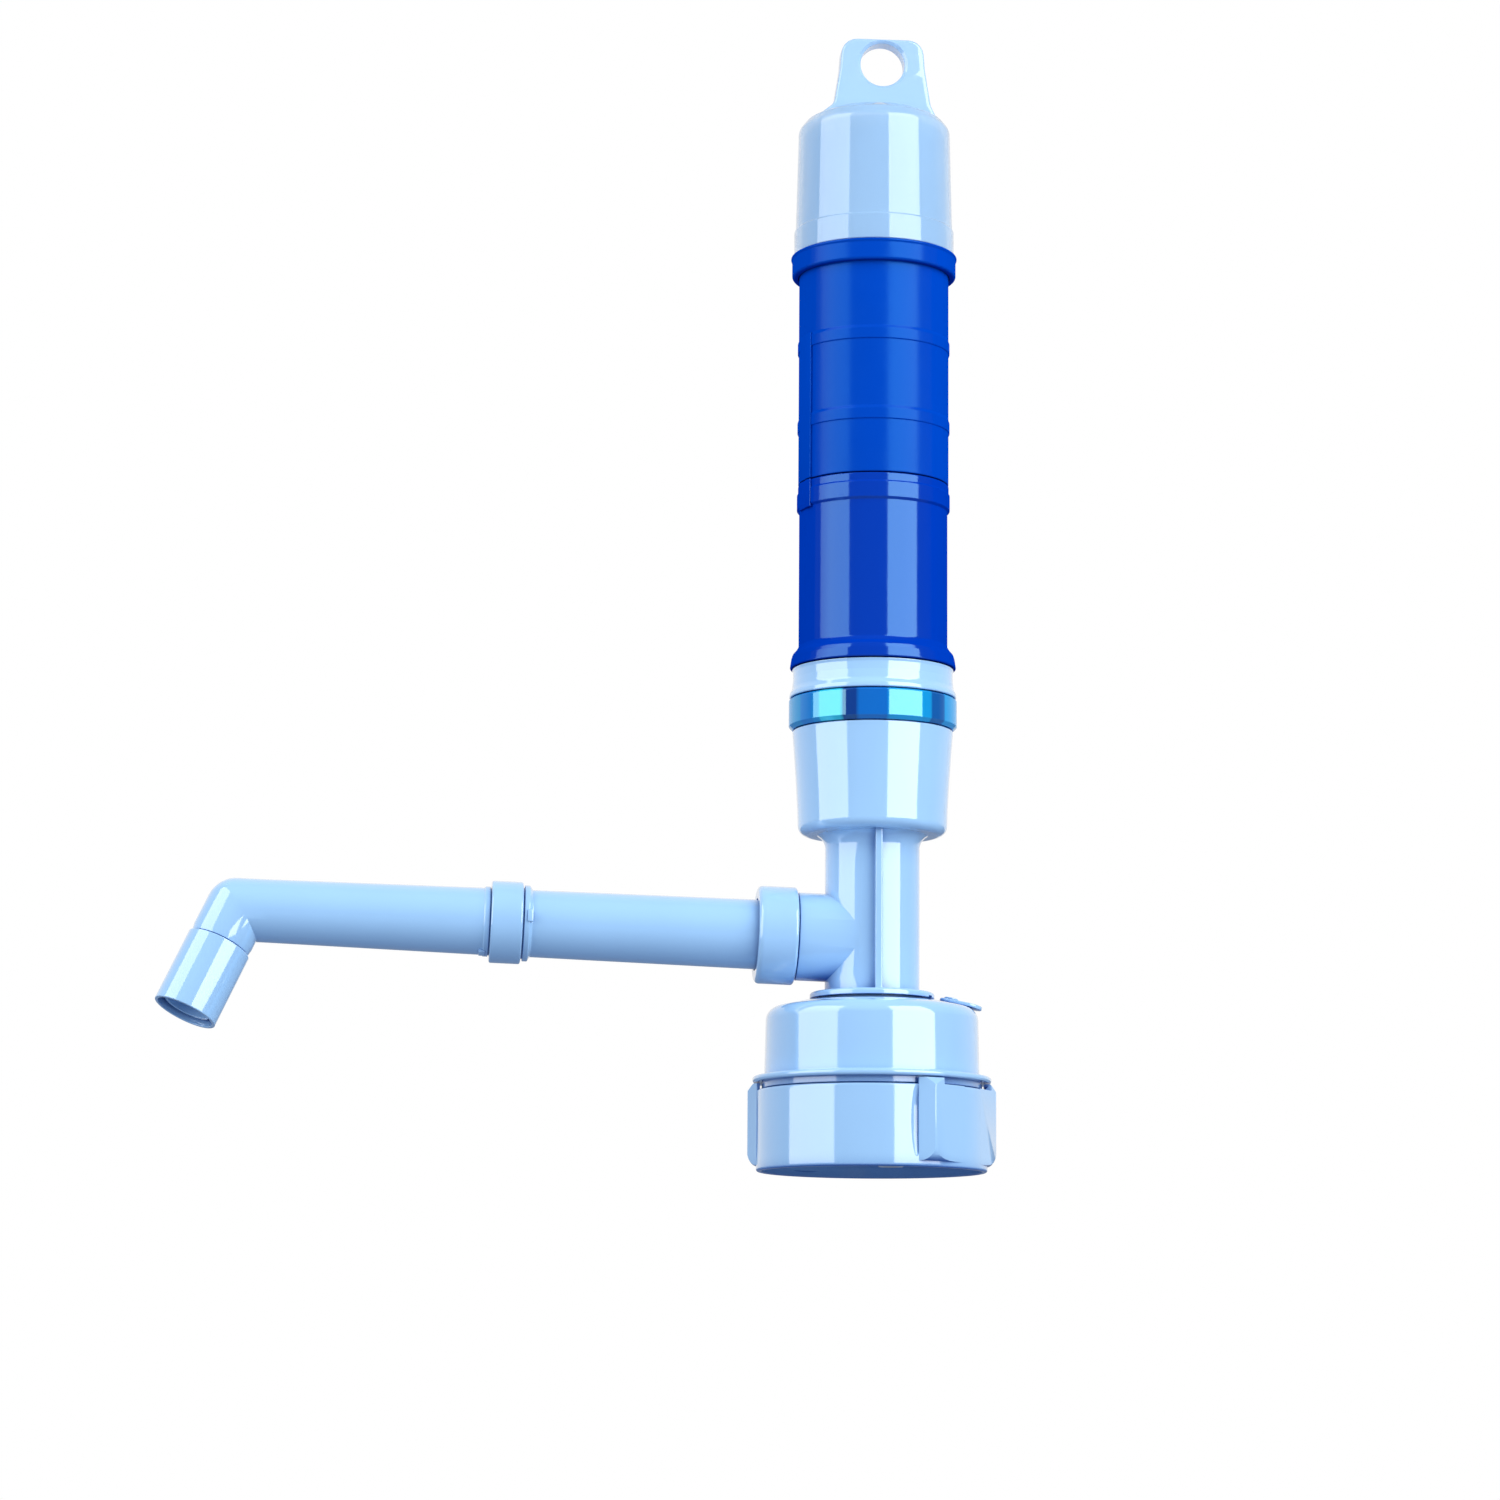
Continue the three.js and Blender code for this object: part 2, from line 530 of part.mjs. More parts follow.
function capDome() {
  const shoulder = arc(shoulderCentre, dome.shoulderRadius, 0, dome.shoulderDeg, 4);
  const innerWall = domeRadius - dome.wall;
  const hubRadius = domeHoleRadius + dome.hubWall;
  const body = turned([
    [domeNeckBore, domeFlangeZ], [domeFlangeRadius, domeFlangeZ], [domeFlangeRadius, domeFlangeTopZ],
    [domeNeckRadius, domeFlangeTopZ], [domeNeckRadius, domeLipZ], [domeLipRadius - dome.lipRound, domeLipZ],
    [domeLipRadius, domeLipZ + dome.lipRound], [domeLipRadius, domeLipTopZ - dome.lipRound],
    [domeLipRadius - dome.lipRound, domeLipTopZ], [domeRadius, domeLipTopZ],
    ...shoulder, [domeSlopeStart, domeTopZ], [domeHoleRadius, domeTopZ],
    [domeHoleRadius, spigotEndZ], [hubRadius, spigotEndZ],
    [hubRadius, domeTopZ - dome.topThick], [shoulderCentre[0] - dome.wall, domeWallTopZ],
    [innerWall - dome.draft, domeWallTopZ - dome.wall], [innerWall, domeLipTopZ], [domeNeckBore, domeLipZ],
  ]);
  const seatZ = leverZ - seatGap;
  const holeBoss = disc(vent.holeRadius + vent.bossWall, domeWallTopZ, seatZ, facets.small)
    .translate(vent.holeOffset, 0, 0);
  const pinBoss = disc(vent.bossRadius, pinBossZ, seatZ, facets.small).translate(vent.pinOffset, 0, 0);
  const drillZ = domeWallTopZ - dome.wall * 2;
  const hole = disc(vent.holeRadius, drillZ, domeTopZ + overrun, facets.small)
    .translate(vent.holeOffset, 0, 0);
  const pinHole = disc(vent.pinRadius + seatGap, drillZ, domeTopZ + overrun, facets.small)
    .translate(vent.pinOffset, 0, 0);
  return cut(join(body, tipped(holeBoss), tipped(pinBoss)), tipped(hole), tipped(pinHole));
}
add("cap_dome", capDome(), paleBlue);

// Neck gasket: the flat rubber ring that the mouth of the jug presses against.
const gasketTopZ = domeFlangeZ - seatGap;
add("neck_gasket", pipe(domeFlangeRadius - gasket.reach, domeFlangeRadius - seatGap,
  gasketTopZ - gasket.thick, gasketTopZ, facets.large), blackRubber);

// Vent lever: a thin leaf that swings about its pin, over the air hole.
function ventLever() {
  const tipRadius = vent.tipWidth / 2;
  const tipCentre = vent.tipOffset - tipRadius;
  const outline = new THREE.Shape();
  outline.absarc(vent.pinOffset, 0, vent.hubRadius, Math.PI / 2, (3 * Math.PI) / 2, false);
  outline.absarc(tipCentre, 0, tipRadius, -Math.PI / 2, Math.PI / 2, false);
  const leaf = extruded(outline, vent.thick).translate(0, 0, leverZ);
  const hole = disc(vent.pinRadius + seatGap, leverZ - overrun, leverTopZ + overrun, facets.small)
    .translate(vent.pinOffset, 0, 0);
  return cut(leaf, hole);
}
add("vent_lever", tipped(ventLever()), paleBlue);

// Vent pin: a headed pin down through the lever and the dome, with a push-on clip below.
const clipTopZ = pinBossZ - seatGap;
const pinHeadZ = leverTopZ + snugGap;
add("vent_pin", tipped(turned([
  [0, clipTopZ - 2 * vent.clipThick], [vent.pinRadius, clipTopZ - 2 * vent.clipThick],
  [vent.pinRadius, pinHeadZ], [vent.pinHeadRadius, pinHeadZ],
  [vent.pinHeadRadius, pinHeadZ + vent.pinHead], [0, pinHeadZ + vent.pinHead],
], facets.small).translate(vent.pinOffset, 0, 0)), paleBlue);
add("vent_clip", tipped(pipe(vent.pinRadius + snugGap, vent.clipRadius, clipTopZ - vent.clipThick,
  clipTopZ, facets.small).translate(vent.pinOffset, 0, 0)), steel);

// Pump housing: the spigot in the dome, the foot, the stem with its front rib, the branch
// for the spout and the tapered motor housing, moulded as one.
function pumpHousing() {
  const fillet = arc([stem.radius + stem.filletReach, filletZ], stem.filletReach, 180, stem.filletDeg, 3);
  const undersideRadius = housingLowRadius - housing.cornerRise;
  const corner = arc([undersideRadius, housingZ + housing.cornerRise], housing.cornerRise, -90, 0, 3);
  const taper = housing.taperShares.map((share) => [
    housingLowRadius + (housingTopRadius - housingLowRadius) * share ** housing.taperBow,
    housingZ + housing.cornerRise + (housingHeight - housing.cornerRise) * share,
  ]);
  const body = turned([
    [stem.boreRadius, spigotEndZ], [stem.spigotRadius, spigotEndZ], [stem.spigotRadius, footZ],
    [stem.footRadius, footZ], [stem.footRadius, footTopZ - stem.footEdge],
    [stem.footRadius - stem.footEdge, footTopZ], [stem.radius, footTopZ],
    ...fillet, ...corner, ...taper, [housingTopRadius, housingTopZ],
    [housingMouthRadius, housingTopZ], [housingMouthRadius, housingMouthZ],
    [housing.cavityRadius, housingMouthZ], [housing.cavityRadius, housingFloorZ],
    [housing.sealRadius, housingFloorZ], [housing.sealRadius, sealFloorZ],
    [housing.shaftHole, sealFloorZ], [housing.shaftHole, waterTopZ], [stem.boreRadius, waterTopZ],
  ]);
  const arm = turned([
    [0, 0], [branch.radius, 0], [branch.radius, branch.bodyEnd], [branch.threadRadius, branch.bodyEnd],
    [branch.threadRadius, branch.end], [0, branch.end],
  ], facets.medium).applyMatrix4(spoutMatrix);
  const armBore = disc(innerTube.boreRadius, 0, branch.end + overrun, facets.medium)
    .applyMatrix4(spoutMatrix);
  const stemBore = disc(stem.boreRadius, spigotEndZ - overrun, waterTopZ, facets.large);
  const rib = block([-stem.ribThick / 2, -stem.ribRadius, footTopZ - stem.footThick / 2],
    [stem.ribThick / 2, -stem.boreRadius - overrun, housingZ + housing.cornerRise]);
  return cut(join(body, arm, rib), armBore, stemBore,
    ...screwClearances(spigotEndZ, screwTipZ - overrun + seatGap));
}

// Pump chamber and its cover, below the spigot inside the dome.
const chamberTopZ = spigotEndZ - seatGap;
const cavityTopZ = chamberTopZ - pump.roof;
const chamberZ = cavityTopZ - pump.cavityHeight;
const chamberGasketTopZ = chamberZ - seatGap;
const coverTopZ = chamberGasketTopZ - pump.gasketThick - seatGap;
const coverZ = coverTopZ - pump.coverThick;
const screwHeadTopZ = coverZ - seatGap;
const screwTipZ = spigotEndZ + screw.bite;
const screwPlaces = around(pump.screwCount, pump.screwFirstDeg)
  .map((angle) => [pump.screwCircle * Math.cos(angle), pump.screwCircle * Math.sin(angle), 0]);
const screwClearances = (low, high) => screwPlaces.map((place) =>
  disc(screw.shankRadius + seatGap, low - overrun, high + overrun, facets.tiny).translate(...place));
add("pump_housing", pumpHousing(), paleBlue);

function pumpChamber() {
  const cup = turned([
    [pump.cavityRadius, chamberZ], [pump.outerRadius, chamberZ], [pump.outerRadius, chamberTopZ],
    [housing.shaftHole, chamberTopZ], [housing.shaftHole, cavityTopZ], [pump.cavityRadius, cavityTopZ],
  ]);
  const port = disc(pump.portRadius, cavityTopZ - overrun, chamberTopZ + overrun, facets.small)
    .translate(-pump.portOffset, 0, 0);
  return cut(cup, port, ...screwClearances(chamberZ, chamberTopZ));
}
add("pump_chamber", pumpChamber(), whitePlastic);

const chamberGasketZ = chamberGasketTopZ - pump.gasketThick;
add("chamber_gasket", cut(
  pipe(pump.cavityRadius, pump.outerRadius, chamberGasketZ, chamberGasketTopZ, facets.large),
  ...screwClearances(chamberGasketZ, chamberGasketTopZ)), blackRubber);

function chamberCover() {
  const spigotRadius = pump.inletRadius + pump.inletWall;
  const endZ = coverZ - pump.inletLength;
  const barbs = Array.from({ length: pump.barbCount }, (_, i) => {
    const low = endZ + i * pump.barbPitch;
    return [
      [spigotRadius - pump.barbRise, low], [spigotRadius, low + pump.barbPitch * pump.barbSlopeShare],
      [spigotRadius - pump.barbRise, low + pump.barbPitch * pump.barbStepShare],
    ];
  }).flat();
  const plainZ = endZ + pump.barbCount * pump.barbPitch;
  const spigot = turned([
    [0, endZ], ...barbs, [spigotRadius - pump.barbRise, plainZ], [spigotRadius, plainZ + pump.barbRise],
    [spigotRadius, coverTopZ], [0, coverTopZ],
  ], facets.small).translate(pump.inletOffset, 0, 0);
  const bore = disc(pump.inletRadius, endZ - overrun, coverTopZ + overrun, facets.small)
    .translate(pump.inletOffset, 0, 0);
  return cut(join(disc(pump.outerRadius, coverZ, coverTopZ, facets.large), spigot), bore,
    ...screwClearances(coverZ, coverTopZ));
}
add("chamber_cover", chamberCover(), whitePlastic);

// Chamber screws: slotted cheese heads below the cover.
function chamberScrew() {
  const headZ = screwHeadTopZ - screw.headHeight;
  const body = turned([
    [0, headZ], [screw.headRadius, headZ], [screw.headRadius, screwHeadTopZ],
    [screw.shankRadius, screwHeadTopZ], [screw.shankRadius, screwTipZ - screw.shankRadius], [0, screwTipZ],
  ], facets.tiny);
  const slot = block([-screw.headRadius - overrun, -screw.slotWidth / 2, headZ - overrun],
    [screw.headRadius + overrun, screw.slotWidth / 2, headZ + screw.slotDepth]);
  return cut(body, slot);
}
screwPlaces.forEach((place, i) => add(`chamber_screw_${i + 1}`, chamberScrew().translate(...place), steel));

// Impeller: a rubber hub with flexible vanes that sweep the chamber.
function impellerWheel() {
  const low = chamberZ + impeller.endGap;
  const high = cavityTopZ - impeller.endGap;
  const hub = pipe(shaft.radius + snugGap, impeller.hubRadius, low, high, facets.small);
  const vanes = around(impeller.vaneCount).map((angle) =>
    block([impeller.hubRadius - seatGap, -impeller.vaneThick / 2, low],
      [pump.cavityRadius - seatGap, impeller.vaneThick / 2, high]).rotateZ(angle));
  return join(hub, ...vanes);
}
add("impeller", impellerWheel(), blackRubber);

// Drive line: the lower shaft, the coupler and the motor's own shaft.
const couplerTopZ = motorZ - 2 * seatGap;
const couplerZ = couplerTopZ - shaft.couplerLength;
const driveTopZ = couplerZ + shaft.couplerBite;
const motorShaftZ = driveTopZ + seatGap;
add("drive_shaft", disc(shaft.radius, chamberZ + impeller.endGap, driveTopZ, facets.small), steel);
add("shaft_coupler", turned([
  [shaft.radius + snugGap, couplerZ], [shaft.couplerRadius, couplerZ], [shaft.couplerRadius, couplerTopZ],
  [shaft.motorRadius + snugGap, couplerTopZ], [shaft.motorRadius + snugGap, motorShaftZ],
  [shaft.radius + snugGap, motorShaftZ],
], facets.small), whitePlastic);
add("motor_shaft", disc(shaft.motorRadius, motorShaftZ, canTopZ - seatGap, facets.tiny), steel);

// Shaft seal: a rubber ring in its pocket under the motor.
add("shaft_seal", pipe(shaft.radius + seal.lipGap, housing.sealRadius - seatGap,
  sealFloorZ + seatGap, sealFloorZ + seatGap + seal.height, facets.medium), blackRubber);

// Motor holder: a flange on the housing floor, a ledge for the motor and a sleeve round it
// that carries the light board.
const glowMiddleZ = (glowZ + glowTopZ) / 2;
const boardZ = glowMiddleZ - led.boardThick;
const holderBoreRadius = motor.canRadius + seatGap;
const holderZ = housingFloorZ + seatGap;
add("motor_holder", turned([
  [holder.ledgeHole, motorZ - seatGap - holder.ledge], [holderBoreRadius, motorZ - seatGap - holder.ledge],
  [holderBoreRadius, holderZ], [housing.cavityRadius - holder.baseGap, holderZ],
  [housing.cavityRadius - holder.baseGap, holderZ + holder.baseThick],
  [holderBoreRadius + holder.wall, holderZ + holder.baseThick],
  [holderBoreRadius + holder.wall, boardZ - seatGap], [holderBoreRadius, boardZ - seatGap],
  [holderBoreRadius, motorZ - seatGap], [holder.ledgeHole, motorZ - seatGap],
], facets.medium), greyPlastic);

// Motor: a steel can, a ring magnet, the wound armature and the end bell with its terminals.
add("motor_can", turned([
  [shaft.motorRadius + seatGap, motorZ], [motor.canRadius, motorZ], [motor.canRadius, canTopZ],
  [motor.canRadius - motor.canWall, canTopZ], [motor.canRadius - motor.canWall, motorZ + motor.canWall],
  [shaft.motorRadius + seatGap, motorZ + motor.canWall],
], facets.medium), steel);
const magnetRadius = motor.canRadius - motor.canWall - seatGap;
const magnetZ = motorZ + motor.endRoom;
const magnetTopZ = magnetZ + motor.magnetLength;
const armatureTopZ = magnetZ + motor.armatureLength;
add("motor_magnet", pipe(
  magnetRadius - motor.magnetThick, magnetRadius, magnetZ, magnetTopZ, facets.medium), magnetic);
add("armature", pipe(
  shaft.motorRadius + snugGap, motor.armatureRadius, magnetZ, armatureTopZ, facets.medium), copper);
add("motor_end_bell", disc(motor.canRadius, bellZ, bellTopZ, facets.medium), whitePlastic);
const terminal = () => block([motor.terminalOffset, -motor.terminalWidth / 2, terminalZ],
  [motor.terminalOffset + motor.terminalThick, motor.terminalWidth / 2, terminalTopZ]);
add("motor_terminal_plus", terminal(), brass);
add("motor_terminal_minus", terminal().rotateZ(Math.PI), brass);

// Light board and its lamps, level with the clear ring.
const boardRadius = collarNeckBore - led.boardGap;
add("led_board", pipe(holderBoreRadius, boardRadius, boardZ, boardZ + led.boardThick), boardGreen);
const lampZ = boardZ + led.boardThick + seatGap;
around(led.count, led.firstDeg).forEach((angle, i) => add(`led_${i + 1}`,
  block([led.offset - led.size / 2, -led.size / 2, lampZ],
    [led.offset + led.size / 2, led.size / 2, lampZ + led.height]).rotateZ(angle), lampBlue));

// Glow ring: the clear ring round the collar's neck, with a slot for the collar's key.
const keyAngle = THREE.MathUtils.degToRad(collar.keyDeg);
function glowRing() {
  const body = turned([
    [glowBoreRadius, glowZ], [glowRadius - glow.chamfer, glowZ], [glowRadius, glowZ + glow.chamfer],
    [glowRadius, glowTopZ - glow.chamfer / 2], [glowRadius - glow.chamfer / 2, glowTopZ],
    [glowBoreRadius, glowTopZ],
  ]);
  const slotHalf = collar.keyWidth / 2 + collar.keyRoom;
  const slot = block([collarNeckRadius - overrun, -slotHalf, glowZ - overrun],
    [collarNeckRadius + collar.keyReach + collar.keyRoom, slotHalf, glowTopZ + overrun]).rotateZ(keyAngle);
  return cut(body, slot);
}
add("glow_ring", glowRing(), clearCyan);

// Motor collar: a neck down into the housing, light windows, and the pale outer ring.
function motorCollar() {
  const body = turned([
    [collarNeckBore, collarZ - collar.neckDepth], [collarNeckRadius, collarZ - collar.neckDepth],
    [collarNeckRadius, collarZ], [collarRadius + collar.flareReach, collarZ],
    [collarRadius + collar.flareReach, collarZ + collar.flareRise],
    [collarRadius, collarZ + collar.flareRise + collar.lipReach],
    [collarRadius, collarTopZ - 2 * collar.lipReach],
    [collarRadius + collar.lipReach, collarTopZ - collar.lipReach],
    [collarRadius + collar.lipReach, collarTopZ],
    [collarPocketRadius, collarTopZ], [collarPocketRadius, collarShelfZ], [collarNeckBore, collarShelfZ],
  ]);
  const key = block([collarNeckRadius - collar.neckWall / 2, -collar.keyWidth / 2, glowZ],
    [collarNeckRadius + collar.keyReach, collar.keyWidth / 2, collarZ + collar.shelf / 2]).rotateZ(keyAngle);
  const windows = around(led.count, led.firstDeg).map((angle) =>
    block([collarNeckBore - overrun, -collar.windowWidth / 2, glowZ + collar.windowEdge],
      [collarNeckRadius + overrun, collar.windowWidth / 2, glowTopZ - collar.windowEdge]).rotateZ(angle));
  return cut(join(body, key), ...windows);
}
add("motor_collar", motorCollar(), paleBlue);

// Battery tube: the lower half of the barrel, with its foot flare, band and inner neck.
const ringGrooveZ = tubeShoulderZ + tube.grooveRise;
function batteryTube() {
  const flare = tube.flareShares
    .map(([reach, rise]) => [tubeRadius + tube.footReach * reach, tubeFootZ + tube.footRise * rise]);
  const body = turned([
    [tube.wireHole, tubeFloorZ], [tubeFootRadius, tubeFloorZ], [tubeFootRadius, tubeFootZ],
    ...flare, [tubeRadius, bandZ - tube.bandReach], [tubeRadius, bandZ],
    [tubeRadius + tube.bandReach, bandZ], [tubeRadius + tube.bandReach, bandTopZ],
    [tubeRadius + tube.stepReach, bandTopZ + tube.stepReach], [tubeRadius + tube.stepReach, tubeShoulderZ],
    [tubeNeckRadius, tubeShoulderZ], [tubeNeckRadius, ringGrooveZ],
    [tubeNeckRadius - tube.grooveDepth, ringGrooveZ],
    [tubeNeckRadius - tube.grooveDepth, ringGrooveZ + tube.grooveWidth],
    [tubeNeckRadius, ringGrooveZ + tube.grooveWidth], [tubeNeckRadius, tubeTopZ],
    [cellBoreRadius, tubeTopZ], [cellBoreRadius, tubeFloorTopZ], [tube.wireHole, tubeFloorTopZ],
  ]);
  const catchBar = railBar(bandZ - tube.bandReach, tubeShoulderZ);
  return join(body, catchBar);
}

// The rail down the left front of the barrel: a raised strip that follows the wall.
function railBar(low, high) {
  const inner = tubeRadius - tube.wall / 4;
  const outer = sleeveRadius + sleeve.railReach;
  const crest = outer + sleeve.ridgeRise;
  const sides = Array.from({ length: sleeve.railSteps + 1 }, (_, i) => {
    const share = i / sleeve.railSteps;
    const angle = THREE.MathUtils.degToRad(sleeve.railStartDeg + sleeve.railSweepDeg * share);
    const reach = share > sleeve.ridgeFromShare && share < 1 ? crest : outer;
    return { angle, reach };
  });
  const at = (radius, angle) => new THREE.Vector2(radius * Math.cos(angle), radius * Math.sin(angle));
  const outline = [
    ...sides.map(({ angle, reach }) => at(reach, angle)),
    ...sides.map(({ angle }) => at(inner, angle)).reverse(),
  ];
  return extruded(new THREE.Shape(outline), high - low).translate(0, 0, low);
}
add("battery_tube", batteryTube(), cobaltGloss);

const ringLow = tubeNeckRadius - tube.grooveDepth + grooveGap;
add("sleeve_oring", pipe(ringLow, tubeNeckRadius - squeezeGap, ringGrooveZ + seatGap,
  ringGrooveZ + tube.grooveWidth - seatGap, facets.large), blackRubber);

// Contacts, spring and the two round cells.
add("battery_contact_bottom",
  disc(contact.bottomRadius, contactBottomZ, contactBottomZ + contact.thick), brass);
add("battery_spring", coil({
  lowRadius: spring.lowRadius, highRadius: spring.highRadius, low: springZ, high: springZ + spring.rise,
  turns: spring.turns, wire: spring.wire,
}), steel);
const roundCell = (low) => turned([
  [0, low], [cell.radius - cell.edge, low], [cell.radius, low + cell.edge],
  [cell.radius, low + cell.length - cell.nubHeight - cell.edge],
  [cell.radius - cell.edge, low + cell.length - cell.nubHeight],
  [cell.nubRadius, low + cell.length - cell.nubHeight], [cell.nubRadius, low + cell.length],
  [0, low + cell.length],
], facets.medium);
add("battery_lower", roundCell(cellZ), cellJacket);
add("battery_upper", roundCell(upperCellZ), cellJacket);
add("battery_contact_top", disc(contact.topRadius, contactTopZ, contactTopZ + contact.thick), brass);

// Battery sleeve: the upper half of the barrel, with two ribs and the rail.
function batterySleeve() {
  const ribs = sleeve.ribShares.map((share) => sleeveZ + sleeveLength * share).flatMap((low) => [
    [sleeveRadius, low], [sleeveRadius + sleeve.ribReach, low + sleeve.ribReach],
    [sleeveRadius + sleeve.ribReach, low + sleeve.ribWidth - sleeve.ribEdge],
    [sleeveRadius, low + sleeve.ribWidth],
  ]);
  const headBore = towerSpigotRadius + seatGap;
  const body = turned([
    [sleeveBoreRadius, sleeveZ], [sleeveRadius, sleeveZ], ...ribs, [sleeveRadius, sleeveTopZ],
    [headBore, sleeveTopZ], [headBore, sleeveTopZ - sleeve.headDepth],
    [cellBoreRadius, sleeveTopZ - sleeve.headDepth], [cellBoreRadius, tubeTopZ + 2 * seatGap],
    [sleeveBoreRadius, tubeTopZ + seatGap],
  ]);
  const rail = railBar(sleeveZ, sleeveZ + sleeveLength * sleeve.railTopShare);
  const innerBore = disc(sleeveBoreRadius, sleeveZ - overrun, tubeTopZ, facets.large);
  return cut(join(body, rail), innerBore);
}
add("battery_sleeve", batterySleeve(), cobaltSatin);

// Collar round the sleeve's top, with a lip that rests on it.
add("sleeve_collar", turned([
  [trimBoreRadius, trimTopZ - trim.width], [trimRadius - trim.chamfer, trimTopZ - trim.width],
  [trimRadius, trimTopZ - trim.width + trim.chamfer], [trimRadius, trimTopZ - 2 * trim.lipReach],
  [trimRadius + trim.lipReach, trimTopZ - trim.lipReach], [trimRadius + trim.lipReach, trimTopZ],
  [towerBaseRadius + seatGap, trimTopZ], [towerBaseRadius + seatGap, trimFlangeZ],
  [trimBoreRadius, trimFlangeZ],
]), cobaltSatin);

// Switch tower: plugs into the sleeve, holds the upper cell's end and houses the switch.
add("switch_tower", turned([
  [cellBoreRadius, towerZ - sleeve.headDepth + seatGap],
  [towerSpigotRadius, towerZ - sleeve.headDepth + seatGap],
  [towerSpigotRadius, towerZ], [towerBaseRadius, towerZ], [towerBaseRadius, towerZ + tower.baseRise],
  [cellBoreRadius + tower.shoulderWall, towerZ + tower.baseRise],
  [cellBoreRadius + tower.shoulderWall, towerFloorZ],
  [tower.midRadius, towerFloorZ + seatGap], [tower.midRadius, towerRoofZ + tower.midRise],
  [tower.topRadius, towerRoofZ + tower.midRise], [tower.topRadius, towerTopZ],
  [button.radius + seatGap, towerTopZ], [button.radius + seatGap, towerPlateZ],
  [towerCavityRadius, towerPlateZ],
  [towerCavityRadius, towerFloorZ], [tube.wireHole, towerFloorZ], [tube.wireHole, towerRoofZ],
  [cellBoreRadius, towerRoofZ],
]), frosted);

// Switch, its button and the return spring.
add("switch_body", turned([
  [0, toggleZ], [toggle.radius, toggleZ], [toggle.radius, toggleTopZ],
  [button.stemRadius + seatGap, toggleTopZ],
  [button.stemRadius + seatGap, toggleWellZ], [0, toggleWellZ],
], facets.medium), greyPlastic);
const buttonRoofZ = buttonTopZ - button.crown;
add("push_button", turned([
  [0, buttonStemZ], [button.stemRadius, buttonStemZ], [button.stemRadius, buttonRoofZ],
  [button.radius - button.wall, buttonRoofZ], [button.radius - button.wall, buttonFlangeZ],
  [button.radius + button.flangeReach, buttonFlangeZ], [button.radius + button.flangeReach, buttonFlangeTopZ],
  [button.radius, buttonFlangeTopZ], [button.radius, buttonTopZ - button.wall / 2],
  [button.radius - button.wall / 2, buttonTopZ], [0, buttonTopZ],
], facets.medium), cobaltGloss);
add("button_spring", coil({
  lowRadius: buttonSpring.radius, highRadius: buttonSpring.radius, low: toggleTopZ + seatGap,
  high: buttonRoofZ - seatGap, turns: buttonSpring.turns, wire: buttonSpring.wire,
}), steel);

// Top cap: a skirt over the tower, a tapered wall, a conical shoulder and the hanging loop.
function hangingLoop() {
  const [base, high] = [capRoofZ + cap.roof - loop.root, capTopZ + loop.top];
  const waistZ = capTopZ + loop.waist;
  const half = { low: loop.baseWidth / 2, high: loop.topWidth / 2 };
  const corner = loop.cornerRadius;
  const outline = new THREE.Shape();
  outline.moveTo(-half.low, base);
  outline.lineTo(half.low, base);
  outline.lineTo(half.high, waistZ);
  outline.lineTo(half.high, high - corner);
  outline.absarc(half.high - corner, high - corner, corner, 0, Math.PI / 2, false);
  outline.absarc(-half.high + corner, high - corner, corner, Math.PI / 2, Math.PI, false);
  outline.lineTo(-half.high, waistZ);
  const plate = new THREE.ExtrudeGeometry(outline, {
    depth: loop.thick - 2 * loop.bevel, bevelThickness: loop.bevel, bevelSize: loop.bevel,
    bevelOffset: -loop.bevel, bevelSegments: 2, curveSegments: 5,
  }).translate(0, 0, -loop.thick / 2 + loop.bevel).rotateX(Math.PI / 2);
  const neck = half.low - loop.bevel;
  const foot = extruded(new THREE.Shape([
    new THREE.Vector2(-loop.footLeft, base), new THREE.Vector2(loop.footRight, base),
    new THREE.Vector2(loop.footRight, base + loop.footRise), new THREE.Vector2(neck, base + loop.flareRise),
    new THREE.Vector2(-neck, base + loop.flareRise), new THREE.Vector2(-loop.footLeft, base + loop.footRise),
  ]), loop.footThick).translate(0, 0, -loop.footThick / 2).rotateX(Math.PI / 2);
  const holeZ = capTopZ + loop.holeRise;
  const hole = disc(loop.holeRadius, -loop.thick, loop.thick, facets.medium)
    .rotateX(Math.PI / 2).translate(0, 0, holeZ);
  return cut(join(plate, foot), hole).translate(loop.offset, 0, 0);
}

function topCap() {
  const skirtTopZ = capZ + cap.skirtRise;
  const brimZ = capTopZ - cap.brimRise;
  const innerTop = capBoreRadius - cap.taper;
  const shell = turned([
    [capBoreRadius, capZ], [capRadius, capZ], [capRadius, skirtTopZ - cap.skirtStep],
    [capRadius - cap.skirtStep, skirtTopZ], [capRadius - cap.skirtStep - cap.taper, brimZ - cap.brimInset],
    [capRadius - cap.skirtStep - cap.taper - cap.brimInset, brimZ],
    [cap.coneRadius + cap.shoulderReach, capTopZ - cap.shoulderDrop],
    [cap.coneRadius, capTopZ - cap.brimInset], [0, capTopZ],
    [0, capRoofZ], [cap.coneRadius - cap.innerConeInset, capRoofZ],
    [innerTop - cap.wall / 2, brimZ - cap.brimInset], [innerTop, brimZ - cap.wall],
  ]);
  return join(shell, hangingLoop());
}
add("top_cap", topCap(), frosted);

